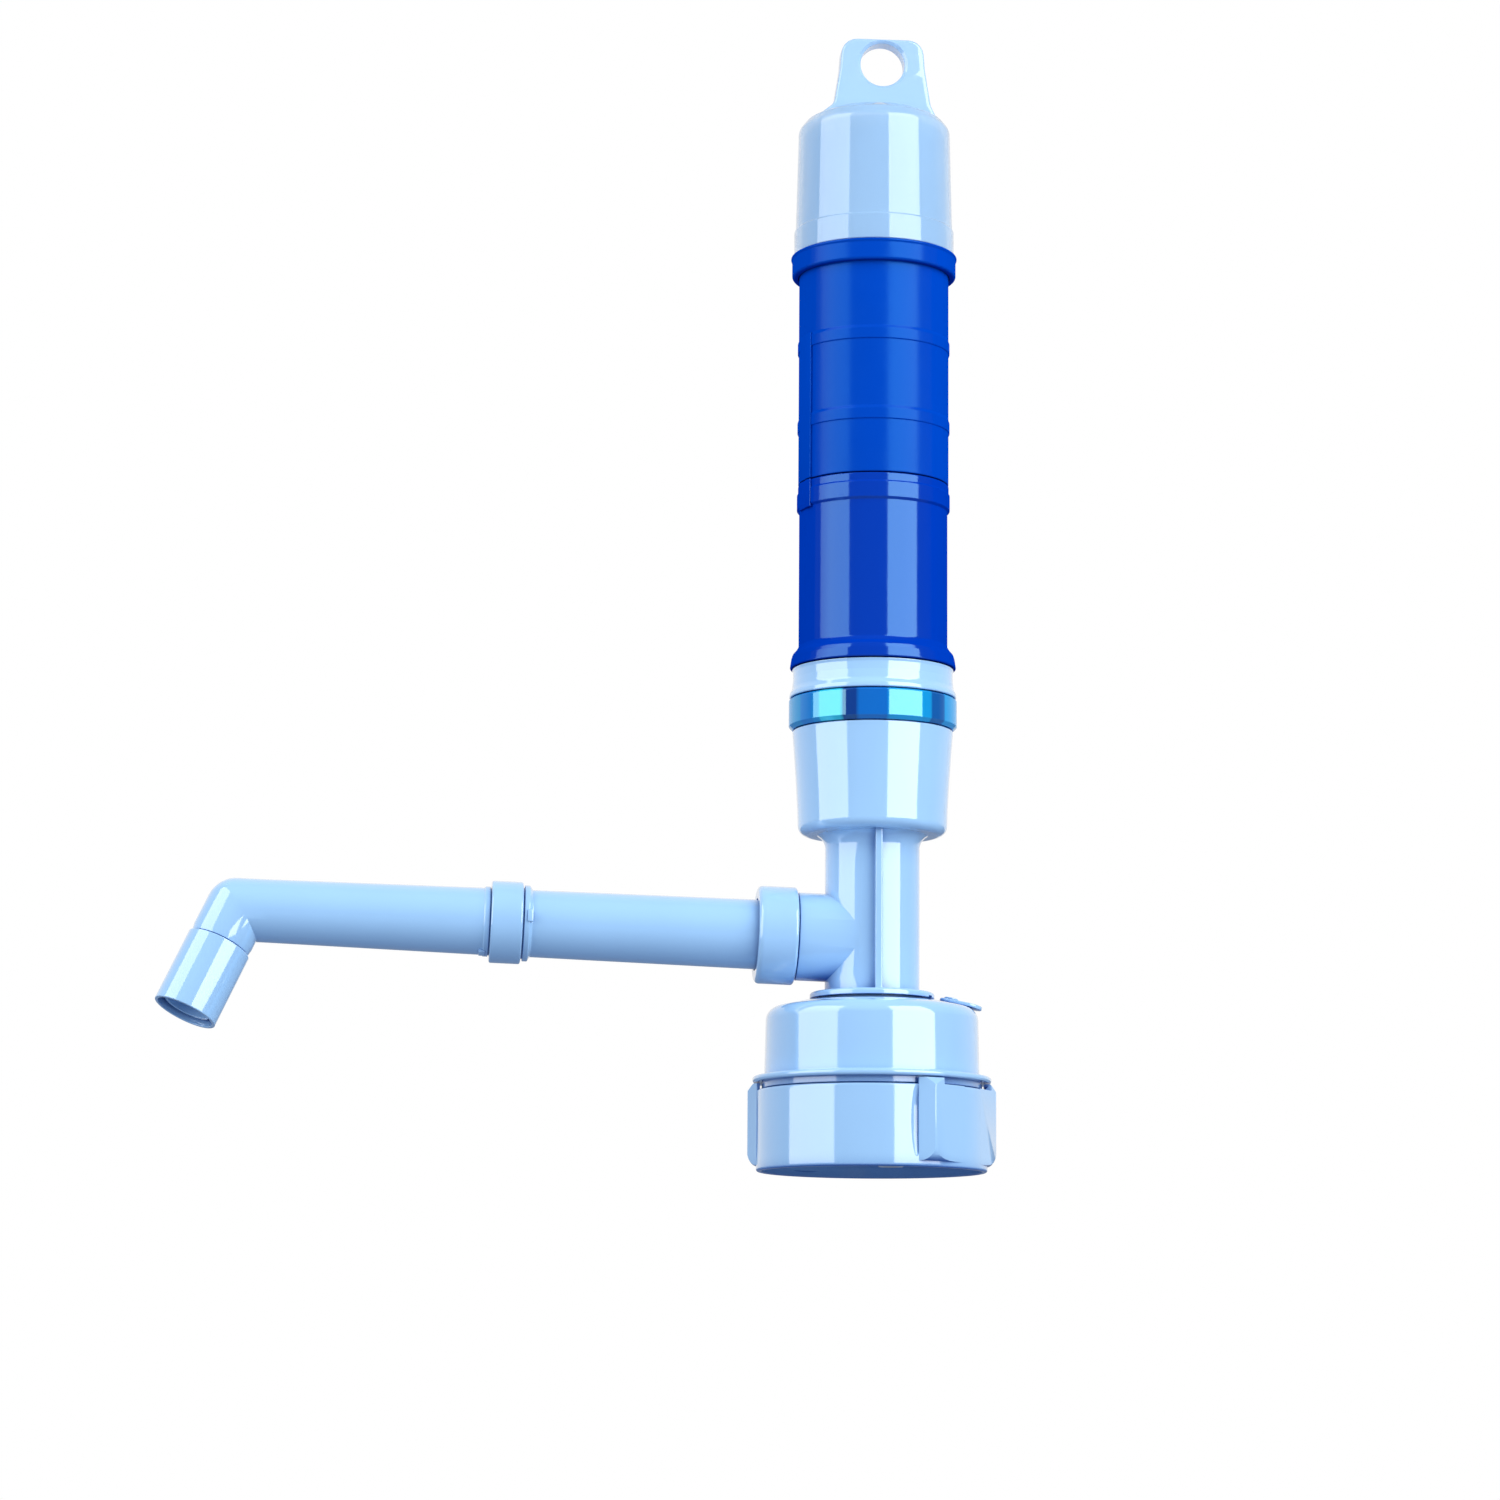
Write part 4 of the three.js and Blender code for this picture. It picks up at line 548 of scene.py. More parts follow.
def shaded_gaps(tree, shader, painted_shade_rgb, coat):
    """Paints shade where faces close in on each other: darkens the colour toward the shade colour and dulls
    the coat's reflection there.
    """
    nearness = add(tree, "AmbientOcclusion", {"Distance": GAP_REACH}, "AO", samples=GAP_SAMPLES)
    open_share = mapped(tree, nearness, GAP_SHARES, (0, 1))
    surface = shader.inputs["Base Color"].links[0].from_socket
    colours = {0: open_share, MIX_FIRST_COLOUR: linear(painted_shade_rgb), MIX_SECOND_COLOUR: surface}
    fill(tree, shader, {"Base Color": add(tree, "Mix", colours, MIX_COLOUR_OUT, data_type="RGBA")})
    if coat:
        weight = add(tree, "Math", {0: open_share, 1: coat}, operation="MULTIPLY")
        fill(tree, shader, {"Coat Weight": weight})


def faded_edges(tree, shader):
    """Mirrors less where a wall turns away, so that the white round it doesn't pale its outline."""
    level = mapped(tree, add(tree, "LayerWeight", output="Facing"), EDGE_SHARES, EDGE_LEVELS)
    fill(tree, shader, {"Specular IOR Level": level})


def plastic(name, rgb, roughness, vary=0.02, coat=0.0, coat_roughness=0.05, ior=1.5, coat_ior=1.5,
            grain=0.02, metallic=0.0, tint=(1, 1, 1), painted_shade_rgb=None, deep_edges=False):
    material, tree, shader = finished(name, PLASTIC, rgb, vary, roughness, grain)
    fill(tree, shader, {"IOR": ior, "Metallic": metallic, "Specular Tint": (*tint, 1), "Coat Weight": coat,
                        "Coat Roughness": coat_roughness, "Coat IOR": coat_ior})
    # Painted shade in gaps and creases, when a shade colour is given
    if painted_shade_rgb:
        shaded_gaps(tree, shader, painted_shade_rgb, coat)
    if deep_edges:
        faded_edges(tree, shader)
    return material


def glossy_pale(name, rgb, coat_ior):
    # Pale gloss with painted shade in its gaps and creases
    return plastic(name, rgb, 0.12, coat=1.0, coat_roughness=0.03, ior=1.6, coat_ior=coat_ior,
                   painted_shade_rgb=PALE_PAINTED_SHADE_RGB)


def brushed(name, rgb, roughness, stretch):
    material, tree, shader = finished(name, METAL, rgb, METAL.vary, roughness, METAL.grain, stretch)
    fill(tree, shader, {"Metallic": 1})
    return material


def clear(name, rgb, roughness, ior, transmission, coat=0.0):
    material, tree, shader = finished(name, CLEAR, rgb, CLEAR.vary, roughness, CLEAR.grain)
    fill(tree, shader, {"IOR": ior, "Transmission Weight": transmission, "Coat Weight": coat,
                        "Coat Roughness": CLEAR.coat_roughness, "Coat IOR": CLEAR.coat_ior})
    return material


def light_guide(name):
    """A clear ring painted as facets of blue round its axis: painted highlights and shade, and the parts
    behind it painted in as they break its colour.
    """
    material, tree, shader = new_material(name)
    ramp = tree.nodes.new("ShaderNodeValToRGB")
    elements = ramp.color_ramp.elements
    elements[0].color = elements[1].color = linear(GUIDE_PAINTED_FACETS[-1][1])
    ends = [*(begin_deg for begin_deg, _ in GUIDE_PAINTED_FACETS[1:]), GUIDE_PAINTED_FACETS[0][0] + 360]
    for (begin_deg, rgb), end_deg in zip(GUIDE_PAINTED_FACETS, ends):
        for turn_deg in (begin_deg + GUIDE_BLUR_DEG, end_deg - GUIDE_BLUR_DEG):
            share = GUIDE_FRONT_SHARE + turn_deg / 360
            if 0 < share < 1:
                elements.new(share).color = linear(rgb)
    place = add(tree, "TexCoord", output="Object")
    fill(tree, ramp, {"Fac": add(tree, "TexGradient", {"Vector": place}, "Color", gradient_type="RADIAL")})
    gloss = mapped(tree, noise(tree, CLEAR.gloss_scale, GLOSS_DETAIL), NOISE_SHARES, GUIDE_ROUGHNESSES)
    fill(tree, shader, {"Base Color": ramp.outputs["Color"], "Roughness": gloss, "IOR": GUIDE_IOR,
                        "Specular Tint": (*GUIDE_SHEEN, 1), "Transmission Weight": GUIDE_TRANSMISSION})
    return material


def thicker_above(material, heights, alphas):
    """Lets less light through above a height, where the moulding is solid and not a thin wall."""
    tree = material.node_tree
    alpha = mapped(tree, along_axis(tree, "Object", "Z"), heights, alphas)
    fill(tree, tree.nodes["Principled BSDF"], {"Alpha": alpha})
    return material


looks = {
    # The pale and cobalt finishes darken toward painted shade in gaps and creases.
    "pale_blue": glossy_pale("pale_blue_plastic", PALE_RGB, 1.7),
    "cobalt_gloss": plastic("cobalt_gloss_plastic", COBALT_RGB, 0.09, ior=1.85, tint=COBALT_SHEEN,
                            painted_shade_rgb=COBALT_PAINTED_SHADE_RGB, deep_edges=True),
    "cobalt_satin": plastic("cobalt_satin_plastic", SATIN_RGB, 0.22, vary=0.03, grain=0.004,
                            tint=SATIN_SHEEN, painted_shade_rgb=COBALT_PAINTED_SHADE_RGB, deep_edges=True),
    "clear_cyan": light_guide("clear_cyan_acrylic"),
    "frosted_blue": thicker_above(clear("frosted_blue_plastic", FROSTED_RGB, 0.05, 1.6, 0.0, coat=1.0),
                                  CAP_HEIGHTS, CAP_ALPHAS),
    "black_rubber": plastic("black_rubber", (28, 29, 31), 0.75, vary=0.1, grain=0.3),
    "white_plastic": plastic("white_plastic", (228, 231, 234), 0.4, grain=0.06),
    "grey_plastic": plastic("grey_plastic", (112, 118, 126), 0.45, grain=0.08),
    "steel": brushed("plain_steel", (190, 194, 198), 0.3, (1, 1, 12)),
    "brass": brushed("plain_brass", (202, 165, 92), 0.3, (1, 1, 1)),
    "magnet": plastic("sintered_magnet", (60, 62, 66), 0.6, vary=0.12, grain=0.4),
    "copper": brushed("copper_winding", (176, 106, 62), 0.35, (1, 1, 40)),
    "cell_jacket": plastic("cell_jacket", (48, 53, 58), 0.3, metallic=0.3),
    "board_green": plastic("board_green", (32, 92, 60), 0.4, vary=0.08, grain=0.1),
    "lamp_clear": clear("lamp_resin", (205, 232, 255), 0.1, 1.5, 0.6),
}

# The tower shows through the cap, and has a finish of its own.
milky_blue = glossy_pale("milky_blue_plastic", MILKY_RGB, 2.0)
node_looks = {"switch_tower": milky_blue}
node_slots = {row["node"]: row["material_slot"] for row in frame["record"]["subparts"]}
body_nodes = frame["record"]["behaviour"]["bodies"]
node_bodies = {node: body for body, nodes in body_nodes.items() for node in nodes}


def dressed(piece, node):
    """Names a piece after its CAD node, shades it, and ties it to the node's body and finish."""
    piece.name = f"{node}_form"
    piece.data.materials.clear()
    piece.data.materials.append(node_looks.get(node, looks[node_slots[node]]))
    piece.data.polygons.foreach_set("use_smooth", [True] * len(piece.data.polygons))
    piece.data.set_sharp_from_angle(angle=radians(SHARP_DEG))
    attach(piece, node_bodies[node])
    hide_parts(node)


# Screw ring
def ring_thread():
    steps = round(ring.thread_turns * MEDIUM)
    root, crest = ring.bore + ring.thread_root, ring.bore - ring.thread_depth
    section = [(root, -ring.thread_flank), (root, ring.thread_width + ring.thread_flank),
               (crest, ring.thread_width), (crest, 0)]
    points, faces = [], []
    for i in range(steps + 1):
        turn = 2 * pi * i / MEDIUM
        height = ring.thread_start + ring.thread_pitch * i / MEDIUM
        points += [(*polar(radius, turn), height + rise) for radius, rise in section]
    sides = len(section)
    for i in range(steps):
        for k in range(sides):
            a, b = i * sides + k, i * sides + (k + 1) % sides
            faces.append((a, b, b + sides, a + sides))
    faces.append(tuple(range(sides))[::-1])
    faces.append(tuple(range(steps * sides, (steps + 1) * sides)))
    piece = mesh_object("thread", points, faces)
    return outward(piece)


def grip_fin(turn_deg, side):
    """A fin with a steep side, a rounded crest and a long ramp, and a short tab on top."""
    crest = ring.radius + ring.fin_rise
    inside = ring.bore + ring.fin_root
    ramp = side * acos(ring.radius / crest)
    foot = -side * ring.fin_foot / ring.radius
    steep_side = [polar(inside, foot), polar(ring.radius, foot), (*polar(crest, 0), ring.crest_round)]
    ramp_foot = polar(ring.radius, ramp)
    outline = fillet([*steep_side, ramp_foot, polar(inside, ramp)], True)
    fin = prism("fin", outline, ring.fin_low, ring.height, along_z(turn_deg))
    near_crest = [a + (b - a) * ring.tab_share for a, b in zip(polar(crest, 0), ramp_foot)]
    outline = fillet([*steep_side, near_crest, polar(inside, ramp * ring.tab_share)], True)
    top = ring.height + ring.fin_high
    tab = prism("tab", outline, ring.height - ring.high_edge, top, along_z(turn_deg))
    wide = crest + ring.fin_clear
    rounding = []
    for i in range(CURVE_STEPS + 1):
        angle = pi / 2 * i / CURVE_STEPS
        rounding.append((ring.radius + (wide - ring.radius) * sin(angle),
                         ring.fin_low + ring.fin_taper * (1 - cos(angle))))
    envelope = lathe("envelope", [
        (0, ring.fin_low), *rounding, (wide, ring.height - ring.fin_shoulder, ring.fin_shoulder_round),
        (ring.radius + ring.fin_top_reach, top), (0, top)], MEDIUM)
    return combined(joined(fin, tab), [envelope], "INTERSECT")


def scoop(turn_deg, side):
    """A shallow lens-shaped hollow at the foot of a fin's steep side."""
    foot = degrees(ring.fin_foot / ring.radius)
    half = degrees(ring.scoop_half / ring.radius)
    turns = [pi * i / HALF_TURN_STEPS for i in range(1, HALF_TURN_STEPS)]
    ball = lathe("scoop", [(0, -1), *[(sin(turn), -cos(turn)) for turn in turns], (0, 1)], COARSE)
    ball.data.transform(Matrix.Diagonal((ring.scoop_deep, ring.scoop_half, ring.scoop_tall, 1)))
    ball.data.transform(at(ring.radius * MM, 0, ring.scoop_z * MM))
    ball.data.transform(along_z(turn_deg - side * (foot + half * ring.scoop_tuck_share)))
    return ball


fin_turns = [(ring.fin_first_deg, 1), (ring.fin_first_deg + ring.fin_spacing_deg, -1),
             (ring.fin_first_deg + 180, 1), (ring.fin_first_deg + ring.fin_spacing_deg + 180, -1)]
ring_body = lathe("screw_ring_body", stairs(
    (ring.bore, 0, SOFT_ROUND), (ring.radius, ring.low_edge), (ring.height, ring.high_edge),
    (ring.lip_radius, SOFT_ROUND), (ring.lip_z, SOFT_ROUND), (ring.bore, FULL_ROUND)))
ring_body = carved(ring_body, *[scoop(turn, side) for turn, side in fin_turns])
fins = [grip_fin(turn, side) for turn, side in fin_turns]
ring_body = joined(ring_body, ring_thread(), *fins)
dressed(ring_body, "screw_ring")

# Jug cap dome
shoulder_centre = (dome.radius - dome.draft - dome.shoulder_radius, dome.wall_top_z)


def dome_profile():
    turns = [radians(dome.shoulder_deg * i / CURVE_STEPS) for i in range(CURVE_STEPS + 1)]
    shoulder = [polar(dome.shoulder_radius, turn, *shoulder_centre) for turn in turns]
    inner_wall = dome.radius - dome.wall
    hub = dome.hole_radius + dome.hub_wall
    return [
        *stairs((dome.neck_bore, dome.flange_z, SMALL_ROUND), (dome.flange_radius, SOFT_ROUND),
                (dome.flange_top_z, SOFT_ROUND), dome.neck_radius, dome.step_z,
                (dome.step_radius, SMALL_ROUND), dome.lip_z, (dome.lip_radius, dome.lip_round),
                (dome.lip_top_z, dome.lip_round), (dome.radius, dome.foot_fillet)),
        *shoulder, (dome.hole_radius + dome.top_flat, dome.top_z),
        (dome.hole_radius, dome.top_z, SMALL_ROUND),
        (dome.hole_radius, stem.spigot_z), (hub, stem.spigot_z), (hub, dome.top_z - dome.top_thick),
        (shoulder_centre[0] - dome.wall, dome.wall_top_z),
        (inner_wall - dome.draft, dome.wall_top_z - dome.wall), (inner_wall, dome.lip_top_z),
        (dome.neck_bore, dome.lip_z)]


dome_body = lathe("dome", dome_profile())
seat_z = vent.low_z - SEAT_GAP
vent_place = at(vent.pin_offset, 0, vent.low_z) @ along_y(vent.slope_deg) @ at(0, 0, -vent.low_z)
dome_body = joined(
    dome_body,
    disc("pin_boss", vent.boss_radius, vent.boss_z, seat_z, COARSE, vent_place),
    disc("hole_boss", vent.hole_boss_radius, dome.wall_top_z, seat_z, COARSE,
         vent_place @ at(vent.hole_offset - vent.pin_offset, 0, 0)))
dressed(dome_body, "cap_dome")
dressed(lathe("gasket", stairs(
    (gasket.bore, gasket.low_z, gasket.edge), (gasket.radius, gasket.edge), gasket.high_z, gasket.bore)),
    "neck_gasket")


# Vent lever and its pin
def lever_outline():
    tip = vent.tip_width / 2
    tip_x = vent.tip_offset - vent.pin_offset - tip
    turns = [pi * i / HALF_TURN_STEPS for i in range(HALF_TURN_STEPS + 1)]
    return [*[polar(vent.hub_radius, pi / 2 + turn) for turn in turns],
            *[polar(tip, -pi / 2 + turn, tip_x) for turn in turns]]


lever = prism("lever", lever_outline(), vent.low_z, vent.high_z, vent_place)
lever = bevelled(lever, vent.edge)
lever = carved(lever, disc(
    "pin_hole", vent.pin_radius + SEAT_GAP, vent.low_z - PAST, vent.high_z + PAST, COARSE, vent_place))
dressed(lever, "vent_lever")
dressed(lathe("pin", stairs(
    (0, vent.pin_z), (vent.pin_radius, SMALL_ROUND), vent.head_z, (vent.head_radius, HAIR_ROUND),
    (vent.head_top_z, vent.head_edge), 0), COARSE, vent_place), "vent_pin")


# Pump housing with its branch and front rib
spout_place = at(0, 0, branch.z) @ along_y(branch.tilt_deg - 90)
elbow_place = spout_place @ at(0, 0, outer.corner) @ along_z(outer.swing_deg)
outlet_place = elbow_place @ along_y(-outer.turn_deg)


def housing_profile():
    fillets = []
    for i in range(stem.fillet_steps + 1):
        angle = radians(180 + (stem.fillet_deg - 180) * i / stem.fillet_steps)
        fillets.append((stem.radius + stem.fillet_reach * (1 + cos(angle)),
                        stem.fillet_z + stem.fillet_reach * sin(angle)))
    rise = housing.top_z - housing.z - housing.corner
    growth = housing.top_radius - housing.low_radius
    taper = []
    for i in range(1, housing.taper_steps):
        share = i / housing.taper_steps
        taper.append((housing.low_radius + growth * share ** housing.taper_bow,
                      housing.z + housing.corner + rise * share))
    return [
        *stairs((stem.bore, stem.spigot_z), stem.spigot_radius, stem.foot_z,
                (stem.foot_radius, stem.foot_round), (stem.foot_top_z, stem.foot_edge),
                (stem.radius, SOFT_ROUND)),
        *fillets, (housing.low_radius, housing.z, housing.corner), *taper,
        *stairs((housing.top_radius, housing.top_z, housing.top_edge), housing.mouth_radius,
                housing.mouth_z, housing.cavity_radius, housing.floor_z, stem.bore)]


def front_rib():
    half = stem.rib_thick / 2
    outline = fillet([
        (-half, -stem.rib_radius, stem.rib_edge), (half, -stem.rib_radius, stem.rib_edge),
        (half, stem.rib_root - stem.radius), (-half, stem.rib_root - stem.radius)], True)
    top = housing.z + housing.corner * stem.rib_top_share
    return prism("rib", outline, stem.foot_top_z - stem.rib_sink, top)


column = lathe("column", housing_profile())
arm = lathe("arm", stairs(
    (branch.bore, branch.start), branch.radius, (branch.body_end, branch.edge), branch.thread_radius,
    (branch.end, branch.edge), branch.bore), MEDIUM, spout_place)
notch = radial_block("notch", 0, stem.foot_radius + PAST, stem.notch_wide / 2, stem.foot_z - stem.notch_low,
                     stem.foot_z + stem.notch_high, -stem.notch_deg)
core = disc("core", stem.foot_radius - stem.notch_deep, stem.foot_z - PAST, stem.foot_top_z)
notch = carved(notch, core)
arm_bore = disc("arm_bore", branch.bore, 0, branch.end + PAST, COARSE, spout_place)
column = joined(column, arm, front_rib())
column = carved(column, arm_bore, notch)
dressed(column, "pump_housing")

# Clear ring and motor collar
dressed(lathe("glow", [
    (glow.bore, glow.low_z), (glow.radius - glow.low_chamfer, glow.low_z, FINE_ROUND),
    (glow.radius, glow.low_z + glow.low_chamfer, SMALL_ROUND),
    (glow.radius, glow.high_z - glow.high_chamfer, FINE_ROUND),
    (glow.radius - glow.high_chamfer, glow.high_z, FINE_ROUND), (glow.bore, glow.high_z)]), "glow_ring")

collar_body = lathe("collar", [
    *stairs((collar.neck_bore, collar.neck_z), collar.neck_radius, collar.z,
            (collar.flare_radius, collar.round)),
    (collar.flare_radius - collar.flare_draft, collar.z + collar.flare_foot, collar.flare_foot_round),
    (collar.radius + collar.waist_reach, collar.z + collar.flare_rise, collar.waist_round),
    (collar.radius, collar.z + 2 * collar.flare_rise, collar.flare_top_round),
    (collar.radius, collar.top_z - collar.lip_rise, collar.lip_round),
    (collar.radius + collar.lip, collar.top_z - collar.lip, FINE_ROUND),
    *stairs((collar.radius + collar.lip, collar.top_z, FINE_ROUND), collar.pocket_radius, collar.shelf_z,
            collar.neck_bore)])
collar_body = joined(collar_body, radial_block(
    "key", collar.neck_radius - collar.key_root, collar.key_radius, collar.key_wide / 2, glow.low_z,
    collar.z + PAST, collar.key_deg))
for i in range(collar.window_count):
    turn_deg = collar.window_first_deg + 360 * i / collar.window_count
    collar_body = carved(collar_body, radial_block(
        "window", collar.neck_bore - PAST, collar.neck_radius + PAST, collar.window_wide / 2,
        collar.window_low, collar.window_high, turn_deg))
dressed(collar_body, "motor_collar")


# Battery barrel: lower tube, upper sleeve, and the rail down the left front
def rail_bar(name, low, high):
    root, face = tube.radius - sleeve.rail_root, sleeve.radius + sleeve.rail_reach
    front, back = [], []
    for i in range(sleeve.rail_steps + 1):
        share = i / sleeve.rail_steps
        angle = radians(sleeve.rail_start_deg + sleeve.rail_sweep_deg * share)
        front.append(polar(face + (sleeve.ridge_rise if sleeve.ridge_share < share else 0), angle))
        back.append(polar(root, angle))
    front[0] = (*front[0], sleeve.rail_edge)
    front[-1] = (*front[-1], sleeve.rail_edge)
    bar = prism(name, fillet([*front, *reversed(back)], True), low, high)
    return bevelled(bar, SMALL_ROUND, sleeve.rail_bevel_steps, sleeve.rail_bevel_deg)


flare = [(tube.radius + tube.foot_reach * reach, tube.foot_z + tube.foot_rise * rise)
         for reach, rise in tube.flare_shares]
flare[0] = (*flare[0], tube.edge)
flare[1:] = [(*point, tube.flare_round) for point in flare[1:]]
band, step = tube.radius + tube.band_reach, tube.radius + tube.step_reach
tube_body = lathe("tube", [
    *stairs((tube.wire_hole, tube.floor_z), tube.foot_radius, tube.foot_z), *flare,
    (tube.radius, tube.band_z - tube.band_foot, FINE_ROUND),
    (band, tube.band_z + tube.band_slope, tube.band_round), (band, tube.band_top_z, SOFT_ROUND),
    (step, tube.band_top_z + tube.band_slope, FINE_ROUND),
    *stairs((step, tube.shoulder_z, SOFT_ROUND), tube.neck_radius, tube.top_z, tube.bore,
            tube.floor_z + tube.floor, tube.wire_hole)])
tube_body = joined(tube_body, rail_bar("catch", tube.band_z - tube.catch_drop, tube.shoulder_z))
dressed(tube_body, "battery_tube")


def sleeve_profile():
    length = sleeve.top_z - sleeve.z
    ribs = []
    for share in sleeve.rib_shares:
        low = sleeve.z + length * share
        crest = sleeve.radius + sleeve.rib_reach
        ribs += [(sleeve.radius, low - sleeve.rib_slope, HAIR_ROUND),
                 (crest, low + sleeve.rib_slope, SMALL_ROUND),
                 (crest, low + sleeve.rib_wide - sleeve.rib_edge, sleeve.rib_round),
                 (sleeve.radius, low + sleeve.rib_wide, sleeve.rib_round)]
    return [
        (sleeve.bore, sleeve.z), (sleeve.radius, sleeve.z, SOFT_ROUND), *ribs,
        *stairs((sleeve.radius, sleeve.top_z), sleeve.head_bore, sleeve.top_z - sleeve.head_depth,
                tube.bore, tube.top_z + sleeve.stop_inner),
        (sleeve.bore, tube.top_z + sleeve.stop_outer)]


sleeve_body = lathe("sleeve", sleeve_profile())
sleeve_body = joined(sleeve_body, rail_bar("rail", sleeve.z, sleeve.rail_top_z))
sleeve_body = carved(sleeve_body, disc("sleeve_bore", sleeve.bore, sleeve.z - PAST, tube.top_z))
dressed(sleeve_body, "battery_sleeve")

trim_lip = trim.radius + trim.lip
dressed(lathe("trim", [
    *stairs((trim.bore, trim.low_z), (trim.radius, trim.chamfer),
            (trim.top_z - trim.lip_rise, trim.rise_round)),
    (trim_lip, trim.top_z - trim.lip_foot, SMALL_ROUND),
    *stairs((trim_lip, trim.top_z, trim.round), trim.inner_radius, trim.flange_z, trim.bore)]),
    "sleeve_collar")

# Switch tower and button, seen through the cap
dressed(lathe("tower", stairs(
    (tower.bore, tower.low_z), tower.spigot_radius, tower.z, tower.base_radius,
    (tower.base_top_z, tower.edge), (tower.shoulder_radius, SOFT_ROUND), (tower.floor_z, tower.edge),
    (tower.mid_radius, SOFT_ROUND), (tower.mid_z, tower.edge), (tower.top_radius, SOFT_ROUND),
    (tower.top_z, tower.edge), (tower.button_hole, SMALL_ROUND), tower.plate_z, tower.cavity_radius,
    tower.floor_z, tower.wire_hole, tower.roof_z, tower.bore)), "switch_tower")
dressed(lathe("button", stairs(
    (0, button.stem_z), (button.stem_radius, SMALL_ROUND), button.roof_z, button.radius - button.wall,
    button.flange_z, (button.flange_radius, SMALL_ROUND), (button.flange_top_z, SMALL_ROUND), button.radius,
    (button.top_z, button.edge), 0), MEDIUM), "push_button")


# Hanging cap
def loop_plate():
    half = loop.thick / 2
    side = [(loop.base_half, loop.base_z, loop.flare), (loop.waist_half, loop.waist_z, loop.waist_round),
            (loop.top_half, loop.top_z, loop.corner)]
    outline = fillet([
        (-loop.foot_left, loop.root_z), (loop.foot_right, loop.root_z),
        (loop.foot_right, loop.foot_right_z), *side,
        *[(-x, *rest) for x, *rest in reversed(side)], (-loop.foot_left, loop.foot_left_z)], True)
    turn = at(loop.offset, 0, 0) @ Matrix.Rotation(pi / 2, 4, "X")
    plate = prism("loop", outline, -half, half, turn)
    plate = bevelled(plate, loop.bevel, loop.bevel_steps, loop.bevel_deg)
    mouth, end, waist = loop.hole_radius + loop.hole_bevel + PAST, half + PAST, half - loop.hole_bevel
    hole = lathe("hole", [
        (0, -end), (mouth, -end), (loop.hole_radius, -waist, loop.hole_round),
        (loop.hole_radius, waist, loop.hole_round), (mouth, end), (0, end)],
        MEDIUM, at(0, 0, loop.hole_z) @ turn)
    return carved(plate, hole)


cap_inner_top = cap.bore - cap.taper
cap_body = lathe("cap", [
    (0, cap.roof_z), (cap.inner_cone_radius, cap.roof_z, FULL_ROUND),
    (cap_inner_top - cap.wall / 2, cap.brim_z - cap.roof_drop, cap.roof_round),
    (cap_inner_top, cap.brim_z - cap.wall, FULL_ROUND), (cap.bore, cap.z),
    (cap.radius, cap.z, SMALL_ROUND),
    (cap.radius, cap.skirt_z - cap.step, SOFT_ROUND), (cap.radius - cap.step, cap.skirt_z, SOFT_ROUND),
    (cap.radius - cap.step - cap.taper, cap.brim_z, cap.shoulder_round),
    (cap.cone_radius + cap.shoulder_out, cap.top_z - cap.shoulder_drop, cap.crown_low_round),
    (cap.cone_radius, cap.top_z - cap.crown_drop, cap.crown_round), (0, cap.top_z)])
cap_body = joined(cap_body, loop_plate())
dressed(cap_body, "top_cap")

# Spout: nut, inner tube, coupling ring, outer tube with its elbow, nozzle and liner
dressed(lipped_ring("nut", nut, SMALL_ROUND, spout_place), "union_nut")


def tube_nub(name, turn_deg, radius, rise, low, high, tall):
    """A small raised pad on a tube's side."""
    pad = radial_block(name, radius - PAST, radius + rise, tall / 2, low, high, turn_deg, spout_place)
    return bevelled(pad, SMALL_ROUND, NUB_BEVEL_STEPS)


inner_body = lathe("inner", [
    *stairs((inner.bore, inner.start), inner.flange_radius, inner.flange_end, inner.start_radius),
    (inner.end_radius, inner.end, FULL_ROUND),
    (inner.collar_radius, inner.end + inner.collar_edge, inner.collar_round),
    *stairs((inner.collar_radius, inner.collar_end, SMALL_ROUND), inner.spigot_radius, inner.spigot_end,
            inner.bore)],
    FINE, spout_place)
inner_body = joined(inner_body, tube_nub(
    "nub", inner.nub_deg, inner.collar_radius, inner.nub_rise,
    inner.end - inner.nub_sink, inner.end + inner.nub_wide, inner.nub_tall))
dressed(inner_body, "spout_tube_inner")

dressed(lipped_ring("coupling", coupling, HAIR_ROUND, spout_place), "coupling_ring")


def elbow_rings(radius):
    """Rings round the corner: rounded outside the bend and a mitre inside it."""
    turn = radians(outer.turn_deg)
    rings = []
    for step in range(outer.elbow_steps + 1):
        swung = turn * step / outer.elbow_steps
        points = []
        for k in range(FINE):
            across, side = polar(radius, 2 * pi * k / FINE)
            bend = across * across / radius if across > 0 else 0
            centre = across - bend
            points.append((centre + bend * cos(swung), side,
                           centre * tan(turn / 2) + bend * sin(swung)))
        rings.append([elbow_place @ Vector(point) for point in points])
    return rings


def straight_ring(radius, height, matrix):
    turns = [2 * pi * k / FINE for k in range(FINE)]
    return [matrix @ Vector((*polar(radius, turn), height)) for turn in turns]


